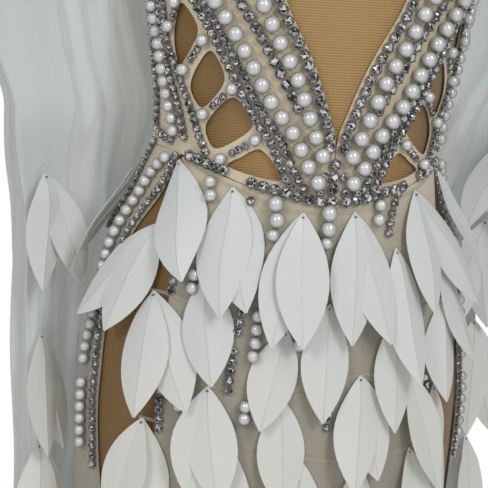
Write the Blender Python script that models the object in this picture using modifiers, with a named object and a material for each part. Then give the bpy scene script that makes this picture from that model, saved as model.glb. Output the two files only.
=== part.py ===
"""A prom dress on a limbless dress form: sheer net, a beaded V, hip cut-outs and leaf-shaped petals.

Metres, +Z up, the front towards -Y. The stand's base rests on z = 0, and its pole is the z axis.
Places on the body are given by an angle from the front, in degrees towards +X, a height above the
waist, and a lift off the form's skin.
"""

import math

import bmesh
import bpy
import numpy as np
from mathutils import Vector

WAIST_HEIGHT = 1.04
FORM_BOTTOM = -0.430
NECK_TOP = 0.450
HEM = -0.415

NET_THICKNESS = 0.0012
NET_LIFT = 0.0015
SEAM_GAP = 0.0004
TRIM_LIFT = NET_LIFT + NET_THICKNESS + SEAM_GAP

BASE_RADIUS = 0.190
BASE_HEIGHT = 0.018
BOSS_RADIUS = 0.030
BOSS_HEIGHT = 0.045
POLE_RADIUS = 0.014
FERRULE_RADIUS = 0.034
CAP_RADIUS = 0.047
CAP_HEIGHT = 0.020

# the form: height above the waist, half width, half depth, how far the centre is set back
FORM_SECTIONS = (
    (-0.430, 0.151, 0.107, 0.002),
    (-0.330, 0.158, 0.113, 0.004),
    (-0.230, 0.162, 0.117, 0.007),
    (-0.160, 0.1543, 0.115, 0.005),
    (-0.100, 0.144, 0.109, -0.001),
    (-0.050, 0.1225, 0.102, -0.008),
    (0.000, 0.1112, 0.094, -0.015),
    (0.050, 0.1187, 0.090, -0.020),
    (0.100, 0.1262, 0.089, -0.022),
    (0.180, 0.1407, 0.093, -0.018),
    (0.260, 0.160, 0.097, -0.007),
    (0.320, 0.166, 0.086, 0.004),
    (0.346, 0.158, 0.074, 0.008),
    (0.362, 0.130, 0.064, 0.010),
    (0.378, 0.092, 0.058, 0.012),
    (0.394, 0.066, 0.054, 0.013),
    (0.450, 0.054, 0.052, 0.010),
)
BUST_HALF_SPACING = 0.082
BUST_HEIGHT = 0.178
BUST_PUSH = 0.030
BUST_HALF_WIDTH = 0.052
BUST_HALF_HEIGHT = 0.048

# the plunging neckline: height, distance of its edge from the centre line
NECKLINE = (
    (-0.0045, 0.0003),
    (0.005, 0.0012),
    (0.022, 0.0068),
    (0.038, 0.0125),
    (0.055, 0.0195),
    (0.071, 0.0275),
    (0.102, 0.0443),
    (0.180, 0.070),
    (0.260, 0.085),
    (0.372, 0.094),
)
WAIST_POINT = -0.0455
WAIST_SIDE = -0.016
WAIST_SIDE_ANGLE = 78
SIDE_SEAM = 80
BACK_NECK = 0.345
# the skirt's rows are level below this height, and follow the waist line more and more above it
SKIRT_LEVEL = -0.100

ARMHOLE_ANGLE = 88
ARMHOLE_HEIGHT = 0.275
ARMHOLE_HALF_ANGLE = 30
ARMHOLE_HALF_HEIGHT = 0.070
SHOULDER_TOP = 0.370

# a lattice window: the angle and height of its top, inner, bottom and outer corner
WINDOWS = (
    (69, 0.136, 66, 0.120, 70, 0.104, 73, 0.120),
    (62.3, 0.0965, 54.5, 0.077, 65, 0.050, 67.8, 0.0712),
    (49.5, 0.063, 43.5, 0.042, 54.5, 0.020, 60, 0.036),
    (40.5, 0.030, 32.5, 0.010, 47, -0.010, 53, 0.007),
    (28.3, -0.0075, 19.6, -0.0292, 40.2, -0.0225, 36, -0.0142),
)
WINDOW_BULGE = 0.22
# how far under and over the form's skin a cutter reaches
WINDOW_CUT = (-0.004, 0.006)
ARMHOLE_CUT = (-0.012, 0.045)

# the hip cut-out: height, angle of the front panel's edge, angle of the back panel's edge
CUT_OUT = (
    (-0.0165, 63.8, 64.2),
    (-0.040, 58.5, 66.5),
    (-0.080, 51.5, 72.5),
    (-0.120, 48.0, 74.0),
    (-0.160, 46.5, 73.5),
    (-0.200, 45.5, 71.0),
    (-0.270, 47.0, 68.5),
    (-0.320, 54.0, 65.0),
    (-0.345, 62.0, 62.3),
    (HEM, 62.0, 62.3),
)

# a sleeve, below its cap: height, sideways and backward place of its middle, half thickness,
# half depth, how far it is turned to the back, how far its rings have tipped over to level
SLEEVE_SECTIONS = (
    (0.244, 0.208, 0.003, 0.064, 0.066, 0, 45),
    (0.186, 0.212, 0.016, 0.058, 0.074, 20, 72),
    (0.110, 0.188, 0.040, 0.050, 0.090, 50, 90),
    (0.050, 0.1665, 0.055, 0.046, 0.091, 57, 90),
    (0.000, 0.150, 0.070, 0.041, 0.092, 54, 90),
    (-0.060, 0.150, 0.099, 0.036, 0.086, 47, 90),
    (-0.130, 0.160, 0.108, 0.029, 0.072, 39, 90),
    (-0.220, 0.169, 0.0985, 0.0245, 0.067, 30, 90),
    (-0.310, 0.169, 0.092, 0.0235, 0.067, 25, 90),
    (-0.400, 0.165, 0.089, 0.026, 0.073, 25, 90),
)
SLEEVE_LEVELS = (0.244, 0.215, 0.186, 0.145, 0.090, 0.020, -0.060, -0.150, -0.240, -0.325, -0.400)
SLEEVE_FOLDS = 5
# a fold's crest runs down the sleeve where its petals hang
SLEEVE_CREST = -110
SLEEVE_FOLD_DEPTH = 0.09
SLEEVE_SEGMENTS = 10
SLEEVE_SEAM_TURN = 0.35
# the ring between the armhole and the sleeve's first level lies this share of the way down
SLEEVE_CAP_SHARE = 0.55
SLEEVE_CAP_LIFT = TRIM_LIFT + 0.0008
SLEEVE_TAPE_LIFT = NET_THICKNESS + 0.0009

PETAL_LENGTH = 0.105
PETAL_WIDTH = 0.042
PETAL_THICKNESS = 0.0008
PETAL_CREASE = 0.0009
PETAL_RISE = 0.16
PETAL_LAYER = 0.0026
PETAL_SETTLE = 0.018
PETAL_BURIED = 0.0003
# along a petal: share of its length, share of its full width
PETAL_OUTLINE = ((0.0, 0.10), (0.28, 0.80), (0.62, 0.96), (0.97, 0.14))
TAPE_HEIGHT = 0.005
TAPE_THICKNESS = 0.0012
TAPE_STEP = 8
TAPE_TURN = 2.2
TAPE_LIFT = NET_LIFT + NET_THICKNESS + 0.0008

PEARL_RADIUS = 0.006
SMALL_PEARL_RADIUS = 0.0045
PEARL_SIDES = 5
SMALL_PEARL_SIDES = 4
PEARL_NECK = 0.45
PEARL_CLEARANCE = 0.0004
# the bare ends of a row's thread, as a share of one pearl
PEARL_END = 0.02

# a petal: angle and height of its root, lean in degrees, layer, share of the full length
FRONT_TIERS = {
    "petals_waist": (
        (-63.5, -0.023, 28, 0, 0.92), (-36.5, -0.037, 10, 1, 0.92), (-36.5, -0.037, 20, 0, 0.92),
        (-10, -0.052, -8, 0, 0.96), (-10, -0.052, 4, 1, 0.95), (8.5, -0.051, 14, 0, 0.98),
        (8.5, -0.051, -3, 1, 0.95), (37.5, -0.037, 30, 0, 1.08), (37.5, -0.037, -6, 1, 0.90),
        (64, -0.023, 8, 0, 0.88),
    ),
    "petals_hip": (
        (-59.5, -0.071, -8, 1, 0.84), (-59.5, -0.071, -27, 0, 0.88), (-37, -0.105, 13, 1, 0.80),
        (24.5, -0.080, 3, 1, 1.0), (48, -0.090, 14, 0, 0.92),
    ),
    "petals_middle": (
        (-53.5, -0.122, 7, 1, 0.90), (-53.5, -0.122, 26, 0, 0.92), (-10.5, -0.142, -11, 0, 0.74),
        (1.5, -0.122, -2, 0, 0.86), (24, -0.134, -4, 0, 0.86), (47, -0.126, -10, 1, 0.78),
    ),
    "petals_lower": (
        (-31, -0.190, 10, 1, 0.84), (-31, -0.190, -4, 0, 0.82), (-10, -0.196, 3, 0, 0.82),
        (12.5, -0.179, 10, 0, 0.80), (12.5, -0.179, -6, 1, 0.84), (29.5, -0.179, 16, 0, 0.98),
        (42, -0.196, 4, 0, 0.88),
    ),
    "petals_low_row": (
        (-50, -0.222, -11, 1, 0.84), (-50, -0.222, 6, 0, 0.86), (-22, -0.240, -4, 0, 0.90),
        (-4, -0.244, 4, 0, 0.90), (14, -0.250, -3, 0, 0.92), (32, -0.244, 8, 0, 0.90),
        (44, -0.244, 3, 1, 0.90),
    ),
    "petals_hem_front": (
        (-52, -0.310, -4, 0, 0.92), (-35, -0.308, 5, 0, 0.92), (-18, -0.312, -5, 0, 0.92),
        (0, -0.308, 4, 0, 0.92), (18, -0.312, -4, 0, 0.92), (35, -0.308, 5, 0, 0.92),
        (52, -0.310, 3, 0, 0.92),
    ),
}
# the back's tiers: height, the angles of their pairs
BACK_TIERS = {
    "petals_waist_back": (-0.030, (104, 148, 169, 191, 212, 256)),
    "petals_hip_back": (-0.120, (156, 180, 204)),
    "petals_middle_back": (-0.205, (152, 171, 189, 208)),
    "petals_hem_back": (-0.295, (158, 180, 202)),
}
BACK_SPREAD = 9
# a sleeve's petals: where round the sleeve and how high they hang, lean, layer
SLEEVE_PETALS = {
    "left": (
        (-122, -0.047, 10, 2), (-122, -0.047, -14, 0), (-118, -0.182, 9, 2), (-118, -0.182, -6, 0),
        (-110, -0.272, 8, 2), (-110, -0.272, -5, 0),
    ),
    "right": (
        (-122, 0.008, -6, 2), (-122, 0.008, 12, 0), (-114, -0.080, -10, 2), (-114, -0.080, 8, 0),
        (-108, -0.172, -5, 2), (-108, -0.172, 10, 0), (-102, -0.276, -8, 2), (-102, -0.276, 7, 0),
    ),
}

# a row of pearls on the bodice: the angle and height of the points it passes, from the top
BODICE_ROWS = {
    "pearls_inner": ((36, 0.135), (28.7, 0.102), (23, 0.0755), (16.5, 0.0495), (12, 0.023),
                     (7.8, -0.0005), (4.8, -0.012)),
    "pearls_outer": ((55, 0.130), (46, 0.103), (39.8, 0.084), (32, 0.056), (25, 0.029),
                     (16.3, 0.005), (9.5, -0.021), (5.2, -0.031)),
}
SIDE_ROWS = {
    "side_pearls": ((78, 0.135), (79.5, 0.092), (76.5, 0.065), (74.5, 0.040), (73, 0.022),
                    (70, 0.003), (69, -0.006)),
    "hip_pearls": ((69, -0.020), (76.5, -0.036), (80.5, -0.058), (82, -0.078), (82, -0.095),
                   (81, -0.157), (82, -0.176), (81, -0.196), (79, -0.220), (78, -0.262)),
}


def clear_scene():
    for obj in list(bpy.data.objects):
        bpy.data.objects.remove(obj, do_unlink=True)


def material(name, colour, roughness, metallic=0.0, alpha=1.0):
    found = bpy.data.materials.new(name)
    found.use_nodes = True
    shader = found.node_tree.nodes["Principled BSDF"]
    shader.inputs["Base Color"].default_value = (*colour, 1.0)
    shader.inputs["Roughness"].default_value = roughness
    shader.inputs["Metallic"].default_value = metallic
    shader.inputs["Alpha"].default_value = alpha
    return found


def smooth_through(rows, column):
    """A smooth function through one column of a table, whose first column rises or falls."""
    rows = sorted(rows)
    places = np.array([row[0] for row in rows])
    values = np.array([row[column] for row in rows])
    chords = np.diff(values) / np.diff(places)
    slopes = np.empty_like(values)
    slopes[0], slopes[-1] = chords[0], chords[-1]
    for i in range(1, len(values) - 1):
        before, after = chords[i - 1], chords[i]
        slopes[i] = 0 if before * after <= 0 else 2 * before * after / (before + after)

    def value(place):
        place = min(max(place, places[0]), places[-1])
        i = min(max(int(np.searchsorted(places, place)) - 1, 0), len(places) - 2)
        span = places[i + 1] - places[i]
        t = (place - places[i]) / span
        return (
            (2 * t**3 - 3 * t**2 + 1) * values[i]
            + (t**3 - 2 * t**2 + t) * span * slopes[i]
            + (3 * t**2 - 2 * t**3) * values[i + 1]
            + (t**3 - t**2) * span * slopes[i + 1]
        )

    return value


def smooth_path(points, count):
    """Evenly many points on a smooth curve through a few."""
    steps = [np.hypot(b[0] - a[0], 1000 * (b[1] - a[1])) for a, b in zip(points, points[1:])]
    along = np.concatenate([[0], np.cumsum(steps)])
    first = smooth_through([(s, p[0]) for s, p in zip(along, points)], 1)
    second = smooth_through([(s, p[1]) for s, p in zip(along, points)], 1)
    return [(first(s), second(s)) for s in np.linspace(0, along[-1], count)]


half_width = smooth_through(FORM_SECTIONS, 1)
half_depth = smooth_through(FORM_SECTIONS, 2)
set_back = smooth_through(FORM_SECTIONS, 3)
neckline = smooth_through(NECKLINE, 1)
front_edge = smooth_through(CUT_OUT, 1)
back_edge = smooth_through(CUT_OUT, 2)


def skin(angle, height):
    """A point on the form's surface."""
    turn = math.radians(angle)
    x = half_width(height) * math.sin(turn)
    y = set_back(height) - half_depth(height) * math.cos(turn)
    facing = max(0.0, math.cos(turn)) ** 0.5
    for side in (-1, 1):
        across = (x - side * BUST_HALF_SPACING) / BUST_HALF_WIDTH
        up = (height - BUST_HEIGHT) / BUST_HALF_HEIGHT
        y -= BUST_PUSH * facing * math.exp(-across * across - up * up)
    return Vector((x, y, WAIST_HEIGHT + height))


def off_skin(angle, height, lift):
    """A point this far off the form, square to its surface."""
    across = skin(angle + 0.5, height) - skin(angle - 0.5, height)
    up = skin(angle, height + 0.001) - skin(angle, height - 0.001)
    return skin(angle, height) + lift * across.cross(up).normalized()


def waist_line(angle):
    """The height of the waist seam: dipped at the front, level from the sides round the back."""
    share = min(min(abs(angle), 360 - angle) / WAIST_SIDE_ANGLE, 1.0)
    return WAIST_SIDE + (WAIST_POINT - WAIST_SIDE) * math.cos(math.radians(90 * share)) ** 2


def neck_angle(height):
    """The angle of the neckline's edge at this height."""
    return math.degrees(math.asin(min(neckline(height) / half_width(height), 1.0)))


def object_from(name, mesh, collection, finish=None):
    obj = bpy.data.objects.new(name, mesh)
    collection.objects.link(obj)
    if finish:
        mesh.materials.append(finish)
    return obj


def grid_mesh(name, rows, closed=False):
    """An open surface of quads through rows of points."""
    mesh = bpy.data.meshes.new(name)
    bm = bmesh.new()
    grid = [[bm.verts.new(point) for point in row] for row in rows]
    across = len(rows[0])
    for low, high in zip(grid, grid[1:]):
        for i in range(across if closed else across - 1):
            j = (i + 1) % across
            bm.faces.new((low[i], low[j], high[j], high[i]))
    bm.to_mesh(mesh)
    bm.free()
    mesh.shade_smooth()
    return mesh


def net_panel(name, rows, finish, outward=1.0):
    """A wall of net: its inner side is the given surface."""
    obj = object_from(name, grid_mesh(name, rows), parts, finish)
    wall = obj.modifiers.new("wall", "SOLIDIFY")
    wall.thickness = NET_THICKNESS
    wall.offset = outward
    return obj


def capped_loft(name, rings, collection, finish=None):
    """A closed solid through rings of points, with flat ends."""
    mesh = grid_mesh(name, rings, closed=True)
    bm = bmesh.new()
    bm.from_mesh(mesh)
    bm.verts.ensure_lookup_table()
    count = len(rings[0])
    bm.faces.new([bm.verts[i] for i in reversed(range(count))])
    bm.faces.new([bm.verts[i] for i in range(len(bm.verts) - count, len(bm.verts))])
    bmesh.ops.recalc_face_normals(bm, faces=bm.faces)
    bm.to_mesh(mesh)
    bm.free()
    mesh.shade_smooth()
    mesh.set_sharp_from_angle(angle=math.radians(40))
    return object_from(name, mesh, collection, finish)


def turned(name, profile, finish, steps=32):
    """A solid turned about the pole from a profile that runs down its outer side."""
    mesh = bpy.data.meshes.new(name)
    bm = bmesh.new()
    points = [bm.verts.new((radius, 0, height)) for radius, height in profile]
    for a, b in zip(points, points[1:]):
        bm.edges.new((a, b))
    bm.to_mesh(mesh)
    bm.free()
    obj = object_from(name, mesh, parts, finish)
    screw = obj.modifiers.new("turn", "SCREW")
    screw.steps = screw.render_steps = steps
    screw.use_merge_vertices = True
    screw.merge_threshold = 0.0001
    return obj


def make_form(knit, metal, wood):
    heights = [FORM_BOTTOM, -0.346, -0.29, -0.23, -0.18, -0.14, -0.11, -0.085, -0.06, -0.04, -0.02]
    heights += [0.0, 0.022, 0.045, 0.07, 0.10, 0.118, 0.135, 0.152, 0.17, 0.205, 0.24, 0.275]
    heights += [0.325, 0.340, 0.350, 0.360, 0.370, 0.380, 0.396, NECK_TOP]
    rings = [[skin(angle, height) for angle in range(0, 360, 12)] for height in heights]
    capped_loft("form_body", rings, parts, knit)

    bottom = WAIST_HEIGHT + FORM_BOTTOM
    turned("stand_base", (
        (0, BOSS_HEIGHT), (POLE_RADIUS + 0.004, BOSS_HEIGHT), (BOSS_RADIUS, BASE_HEIGHT + 0.008),
        (BOSS_RADIUS + 0.012, BASE_HEIGHT), (BASE_RADIUS - 0.012, BASE_HEIGHT - 0.006),
        (BASE_RADIUS, 0.007), (BASE_RADIUS, 0.002), (BASE_RADIUS - 0.003, 0), (0, 0),
    ), metal, 28)
    turned("stand_pole", (
        (0, bottom - SEAM_GAP), (FERRULE_RADIUS, bottom - SEAM_GAP),
        (FERRULE_RADIUS, bottom - 0.010),
        (POLE_RADIUS, bottom - 0.022), (POLE_RADIUS, BOSS_HEIGHT + SEAM_GAP),
        (0, BOSS_HEIGHT + SEAM_GAP),
    ), metal, 20)
    top = WAIST_HEIGHT + NECK_TOP + SEAM_GAP
    cap = turned("form_neck_cap", (
        (0, top + CAP_HEIGHT), (0.012, top + CAP_HEIGHT - 0.001), (0.030, top + 0.014),
        (CAP_RADIUS, top + 0.007), (CAP_RADIUS + 0.002, top + 0.003), (CAP_RADIUS, top), (0, top),
    ), wood, 18)
    cap.location.y = set_back(NECK_TOP)


def panel_rows(heights, near, far, across, bottom=None):
    """Rows of points between two edges, each given as an angle at a height.

    The lowest rows follow a bottom line that isn't level, less and less as they rise.
    """
    rows = []
    start, settled = heights[0], heights[3]
    for height in heights:
        row = []
        for share in np.linspace(0, 1, across):
            angle = near(height) + (far(height) - near(height)) * share
            level = height
            if bottom and height < settled:
                drop = bottom(angle) - start
                level += drop * (settled - height) / (settled - start)
            row.append(off_skin(angle, level, NET_LIFT))
        rows.append(row)
    return rows


def window_outline(row, side):
    """A lattice window's outline: four corners, joined by gently bulging sides."""
    corners = [(side * row[i], row[i + 1]) for i in (0, 2, 4, 6)]
    middle = (sum(c[0] for c in corners) / 4, sum(c[1] for c in corners) / 4)
    outline = []
    for a, b in zip(corners, corners[1:] + corners[:1]):
        outline.append(a)
        x, y = (a[0] + b[0]) / 2, (a[1] + b[1]) / 2
        outline.append((x + (x - middle[0]) * WINDOW_BULGE, y + (y - middle[1]) * WINDOW_BULGE))
    return outline


def cut_windows(panel, side):
    for i, row in enumerate(WINDOWS):
        outline = window_outline(row, side)
        rings = [[off_skin(a, h, lift) for a, h in outline] for lift in WINDOW_CUT]
        cut(panel, capped_loft(f"{panel.name}_window_{i}", rings, cutters))


def side_edge(height):
    """The side seam's angle below the armhole's middle, and the shoulder seam's above it."""
    return SIDE_SEAM if height < ARMHOLE_HEIGHT else 90


def armhole_cutter(side):
    turns = [2 * math.pi * i / 20 for i in range(20)]
    outline = [
        (side * (ARMHOLE_ANGLE + ARMHOLE_HALF_ANGLE * math.cos(turn)),
         ARMHOLE_HEIGHT + ARMHOLE_HALF_HEIGHT * math.sin(turn))
        for turn in turns
    ]
    rings = [[off_skin(a, h, lift) for a, h in outline] for lift in ARMHOLE_CUT]
    return capped_loft(f"armhole_{side}", rings, cutters)


def cut(panel, cutter):
    hole = panel.modifiers.new(cutter.name, "BOOLEAN")
    hole.operation = "DIFFERENCE"
    hole.object = cutter


def make_bodice(net):
    heights = [WAIST_SIDE, -0.002, 0.022, 0.045, 0.070, 0.100, 0.118, 0.135, 0.152, 0.170]
    heights += [0.205, 0.240]
    heights += [ARMHOLE_HEIGHT - 0.003, ARMHOLE_HEIGHT + 0.003, 0.325, 0.340, 0.350, 0.360]
    heights += [SHOULDER_TOP]
    clear = math.degrees(SEAM_GAP / 2 / half_width(0))
    armholes = {side: armhole_cutter(side) for side in (-1, 1)}

    def front_bottom(angle):
        return waist_line(angle) + SEAM_GAP / 2

    def back_start(height):
        return side_edge(height) + clear

    for side, hand in ((-1, "left"), (1, "right")):

        def inner(height):
            return side * max(neck_angle(height), clear)

        def outer(height):
            return side * (side_edge(height) - clear)

        near, far = (inner, outer) if side > 0 else (outer, inner)
        rows = panel_rows(heights, near, far, 9, front_bottom)
        panel = net_panel(f"bodice_front_{hand}", rows, net)
        cut_windows(panel, side)
        cut(panel, armholes[side])

        def strap_near(height):
            return side * back_start(height)

        def strap_far(height):
            return side * (180 - neck_angle(height))

        strap_heights = [BACK_NECK - 0.005 + SEAM_GAP, 0.350, 0.360, SHOULDER_TOP]
        near, far = (strap_near, strap_far) if side > 0 else (strap_far, strap_near)
        rows = panel_rows(strap_heights, near, far, 6)
        cut(net_panel(f"shoulder_back_{hand}", rows, net), armholes[side])

    skipped = (-0.002, 0.045, 0.118, 0.152)
    back_heights = [h for h in heights if h not in skipped and h <= BACK_NECK - 0.005]
    back_heights[0] += SEAM_GAP / 2
    back = net_panel(
        "bodice_back", panel_rows(back_heights, back_start, lambda h: 360 - back_start(h), 17), net
    )
    for cutter in armholes.values():
        cut(back, cutter)


def make_skirt(net):
    heights = [WAIST_SIDE, -0.040, -0.062, -0.085, -0.110, -0.145, -0.190, -0.240, -0.290]
    heights += [-0.325, -0.346, HEM]
    heights = heights[::-1]

    def drop_to_waist(rows_of, near, far, across, line):
        rows = []
        for height in rows_of:
            row = []
            for share in np.linspace(0, 1, across):
                angle = near(height) + (far(height) - near(height)) * share
                level = height
                if height > SKIRT_LEVEL:
                    share_up = (height - SKIRT_LEVEL) / (WAIST_SIDE - SKIRT_LEVEL)
                    level += (line(angle) - WAIST_SIDE) * share_up
                row.append(off_skin(angle, level, NET_LIFT))
            rows.append(row)
        return rows

    def under_seam(angle):
        return waist_line(angle) - SEAM_GAP / 2

    front = drop_to_waist(heights, lambda h: -front_edge(h), front_edge, 13, under_seam)
    net_panel("skirt_front", front, net)
    back = drop_to_waist(
        heights, back_edge, lambda h: 360 - back_edge(h), 23, under_seam
    )
    net_panel("skirt_back", back, net)


sleeve_columns = [smooth_through(SLEEVE_SECTIONS, column) for column in range(1, 7)]


def sleeve_ring(height):
    """A sleeve's ring at this height, as a function of the place round it, from its outer line."""
    middle_x, middle_y, thick, deep, turn, tip = (column(height) for column in sleeve_columns)
    turn, tip = math.radians(turn), math.radians(tip)
    out = Vector((math.cos(turn) * math.sin(tip), math.sin(turn) * math.sin(tip), math.cos(tip)))
    back = Vector((-math.sin(turn), math.cos(turn), 0))
    middle = Vector((middle_x, middle_y, WAIST_HEIGHT + height))
    depth = SLEEVE_FOLD_DEPTH * min(max((0.20 - height) / 0.25, 0.0), 1.0)

    def point(place, lift=0.0):
        round_ = math.radians(place)
        fold = 1 + depth * math.cos(SLEEVE_FOLDS * (round_ - math.radians(SLEEVE_CREST)))
        x, y = thick * fold * math.cos(round_), deep * fold * math.sin(round_)
        away = (out * x / thick**2 + back * y / deep**2).normalized()
        return middle + out * x + back * y + away * lift

    return point


def on_sleeve(place, height, lift):
    """A point this far off a sleeve's wall, which is straight from one of its levels to the next."""
    level = max(i for i, top in enumerate(SLEEVE_LEVELS[:-1]) if i == 0 or top >= height)
    top, bottom = SLEEVE_LEVELS[level], SLEEVE_LEVELS[level + 1]
    share = (top - height) / (top - bottom)
    return sleeve_ring(top)(place, lift).lerp(sleeve_ring(bottom)(place, lift), share)


def armhole_ring(place):
    """The sleeve's first ring, which lies on the bodice round the armhole."""
    round_ = math.radians(place)
    angle = ARMHOLE_ANGLE + (ARMHOLE_HALF_ANGLE + 0.4) * math.sin(round_)
    height = ARMHOLE_HEIGHT + (ARMHOLE_HALF_HEIGHT + 0.0006) * math.cos(round_)
    return off_skin(angle, height, SLEEVE_CAP_LIFT)


def make_sleeves(tulle):
    gap = SLEEVE_SEAM_TURN
    for side, hand in ((-1, "left"), (1, "right")):
        for start, half in ((180 + gap, "front"), (gap, "back")):
            places = np.linspace(start, start + 180 - 2 * gap, SLEEVE_SEGMENTS + 1)
            rows = [[armhole_ring(place) for place in places]]
            for height in SLEEVE_LEVELS:
                ring = sleeve_ring(height)
                rows.append([ring(place) for place in places])
            cap = [a.lerp(b, SLEEVE_CAP_SHARE) for a, b in zip(rows[0], rows[1])]
            rows.insert(1, cap)
            for row in rows:
                for point in row:
                    point.x *= side
            outward = -1.0 if side > 0 else 1.0
            net_panel(f"sleeve_{hand}_{half}", rows, tulle, outward)


def petal_rings(place_at, lean, layer, length):
    """The rings of one petal: a thin leaf with a raised crease, rooted at the origin of its surface.

    place_at takes a distance across, a distance down and a lift, and gives the point in space.
    """
    lean = math.radians(lean)
    rings = []
    for share, width in PETAL_OUTLINE:
        down = share * length
        settle = min(down / PETAL_SETTLE, 1.0)
        lift = PETAL_RISE * down + layer * PETAL_LAYER * settle - PETAL_BURIED
        half = width * PETAL_WIDTH / 2
        ridge = PETAL_THICKNESS + PETAL_CREASE * width
        ring = []
        for across, extra in ((-half, 0), (half, 0), (0, ridge)):
            x = across * math.cos(lean) + down * math.sin(lean)
            y = down * math.cos(lean) - across * math.sin(lean)
            ring.append(place_at(x, y, lift + extra))
        rings.append(ring)
    return rings


def join_petals(name, tape_rows, petals, finish):
    """A narrow tape with its petals joined to it, as one solid."""
    count = len(tape_rows[0])
    rings = [[tape_rows[k][i] for k in range(4)] for i in range(count)]
    tape = capped_loft(name, rings, parts, finish)
    bm = bmesh.new()
    for rings in petals:
        loft = [[bm.verts.new(point) for point in ring] for ring in rings]
        for low, high in zip(loft, loft[1:]):
            for i in range(3):
                bm.faces.new((low[i], low[(i + 1) % 3], high[(i + 1) % 3], high[i]))
        bm.faces.new(loft[0][::-1])
        bm.faces.new(loft[-1])
    bmesh.ops.recalc_face_normals(bm, faces=bm.faces)
    mesh = bpy.data.meshes.new(name + "_leaves")
    bm.to_mesh(mesh)
    bm.free()
    leaves = object_from(name + "_leaves", mesh, cutters)
    union = tape.modifiers.new("petals", "BOOLEAN")
    union.operation = "UNION"
    union.object = leaves
    union.use_self = True
    return tape


def body_place(angle, height):
    """Places near a root on the body: across, down and lift become a point."""

    def place_at(across, down, lift):
        level = height - down
        one_degree = (skin(angle + 1, level) - skin(angle - 1, level)).length / 2
        return off_skin(
            angle + across / one_degree, level, TAPE_LIFT + TAPE_THICKNESS / 2 + lift
        )

    return place_at


def tape_along(path):
    """The four edges of a tape that lies along a path on the net."""
    edges = ((-1, 0), (1, 0), (1, TAPE_THICKNESS), (-1, TAPE_THICKNESS))
    return [
        [off_skin(a, h + side * TAPE_HEIGHT / 2, TAPE_LIFT + lift) for a, h in path]
        for side, lift in edges
    ]


def make_body_petals(petal):
    for name, table in FRONT_TIERS.items():
        roots = sorted({(row[0], row[1]) for row in table})
        first, last = roots[0], roots[-1]
        points = [(first[0] - 1.5, first[1]), *roots, (last[0] + 1.5, last[1])]
        count = int((last[0] - first[0]) / TAPE_STEP) + 2
        leaves = []
        for angle, height, lean, layer, share in table:
            place_at = body_place(angle, height)
            leaves.append(petal_rings(place_at, lean, layer, PETAL_LENGTH * share))
        path = smooth_path(points, count)
        join_petals(name, tape_along(path), leaves, petal)
    for name, (height, angles) in BACK_TIERS.items():
        first, last = angles[0] - 4, angles[-1] + 4
        count = int((last - first) / TAPE_STEP) + 2
        path = [(angle, height) for angle in np.linspace(first, last, count)]
        leaves = []
        for angle in angles:
            for layer, lean in ((0, BACK_SPREAD), (1, -BACK_SPREAD + 3)):
                place_at = body_place(angle, height)
                leaves.append(petal_rings(place_at, -lean, layer, PETAL_LENGTH * 0.95))
        join_petals(name, tape_along(path), leaves, petal)


def sleeve_place(place, height, side):
    """Places near a root on a sleeve, whose petals hang flat off the crest of its fold."""
    lift = SLEEVE_TAPE_LIFT + TAPE_THICKNESS / 2
    along = on_sleeve(place + 3, height, lift) - on_sleeve(place - 3, height, lift)
    along = Vector((along.x, along.y, 0)).normalized()
    away = along.cross(Vector((0, 0, 1)))

    def place_at(across, down, rise):
        point = on_sleeve(place, height - down, lift) + across * along + rise * away
        point.x *= side
        return point

    return place_at


def make_sleeve_petals(petal):
    for side, hand in ((-1, "left"), (1, "right")):
        table = SLEEVE_PETALS[hand]
        column = smooth_through([(row[1], row[0]) for row in table[::2]], 1)
        levels = np.linspace(table[0][1] + 0.005, table[-1][1] - 0.005, 4 * len(table) // 2 + 1)
        rows = []
        for offset, extra in ((-1, 0), (1, 0), (1, TAPE_THICKNESS), (-1, TAPE_THICKNESS)):
            row = []
            for level in levels:
                turn = column(level) + offset * TAPE_TURN
                point = on_sleeve(turn, level, SLEEVE_TAPE_LIFT + extra)
                point.x *= side
                row.append(point)
            rows.append(row)
        leaves = [
            petal_rings(sleeve_place(place, height, side), lean, layer, PETAL_LENGTH * 0.92)
            for place, height, lean, layer in table
        ]
        join_petals(f"sleeve_{hand}_petals", rows, leaves, petal)


def pearl_row(name, points, radius, sides, finish):
    """A row of touching pearls, as one solid of revolution round its thread."""
    seat = TAPE_LIFT + PEARL_CLEARANCE + radius * math.cos(math.pi / sides)
    fine = [off_skin(a, h, seat) for a, h in smooth_path(points, 60)]
    steps = np.array([(b - a).length for a, b in zip(fine, fine[1:])])
    along = np.concatenate([[0], np.cumsum(steps)])
    pearls = max(int(round(along[-1] / (2 * radius))), 2)
    pitch = along[-1] / pearls

    def on_thread(distance):
        distance = min(max(distance, 0), along[-1])
        i = min(max(int(np.searchsorted(along, distance)) - 1, 0), len(fine) - 2)
        return fine[i].lerp(fine[i + 1], (distance - along[i]) / steps[i])

    stations = [(PEARL_END * pitch, PEARL_NECK)]
    for i in range(pearls):
        stations.append(((i + 0.5) * pitch, 1.0))
        if i < pearls - 1:
            stations.append(((i + 1) * pitch, PEARL_NECK))
    stations.append((along[-1] - PEARL_END * pitch, PEARL_NECK))
    rings = []
    for distance, share in stations:
        centre = on_thread(distance)
        ahead = (on_thread(distance + pitch / 2) - on_thread(distance - pitch / 2)).normalized()
        side = ahead.cross(Vector((centre.x, centre.y, 0)).normalized()).normalized()
        up = side.cross(ahead)
        turns = [2 * math.pi * (k + 0.5) / sides - math.pi / 2 for k in range(sides)]
        rings.append([
            centre + radius * share * (side * math.cos(turn) + up * math.sin(turn))
            for turn in turns
        ])
    return capped_loft(name, rings, parts, finish)


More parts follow.
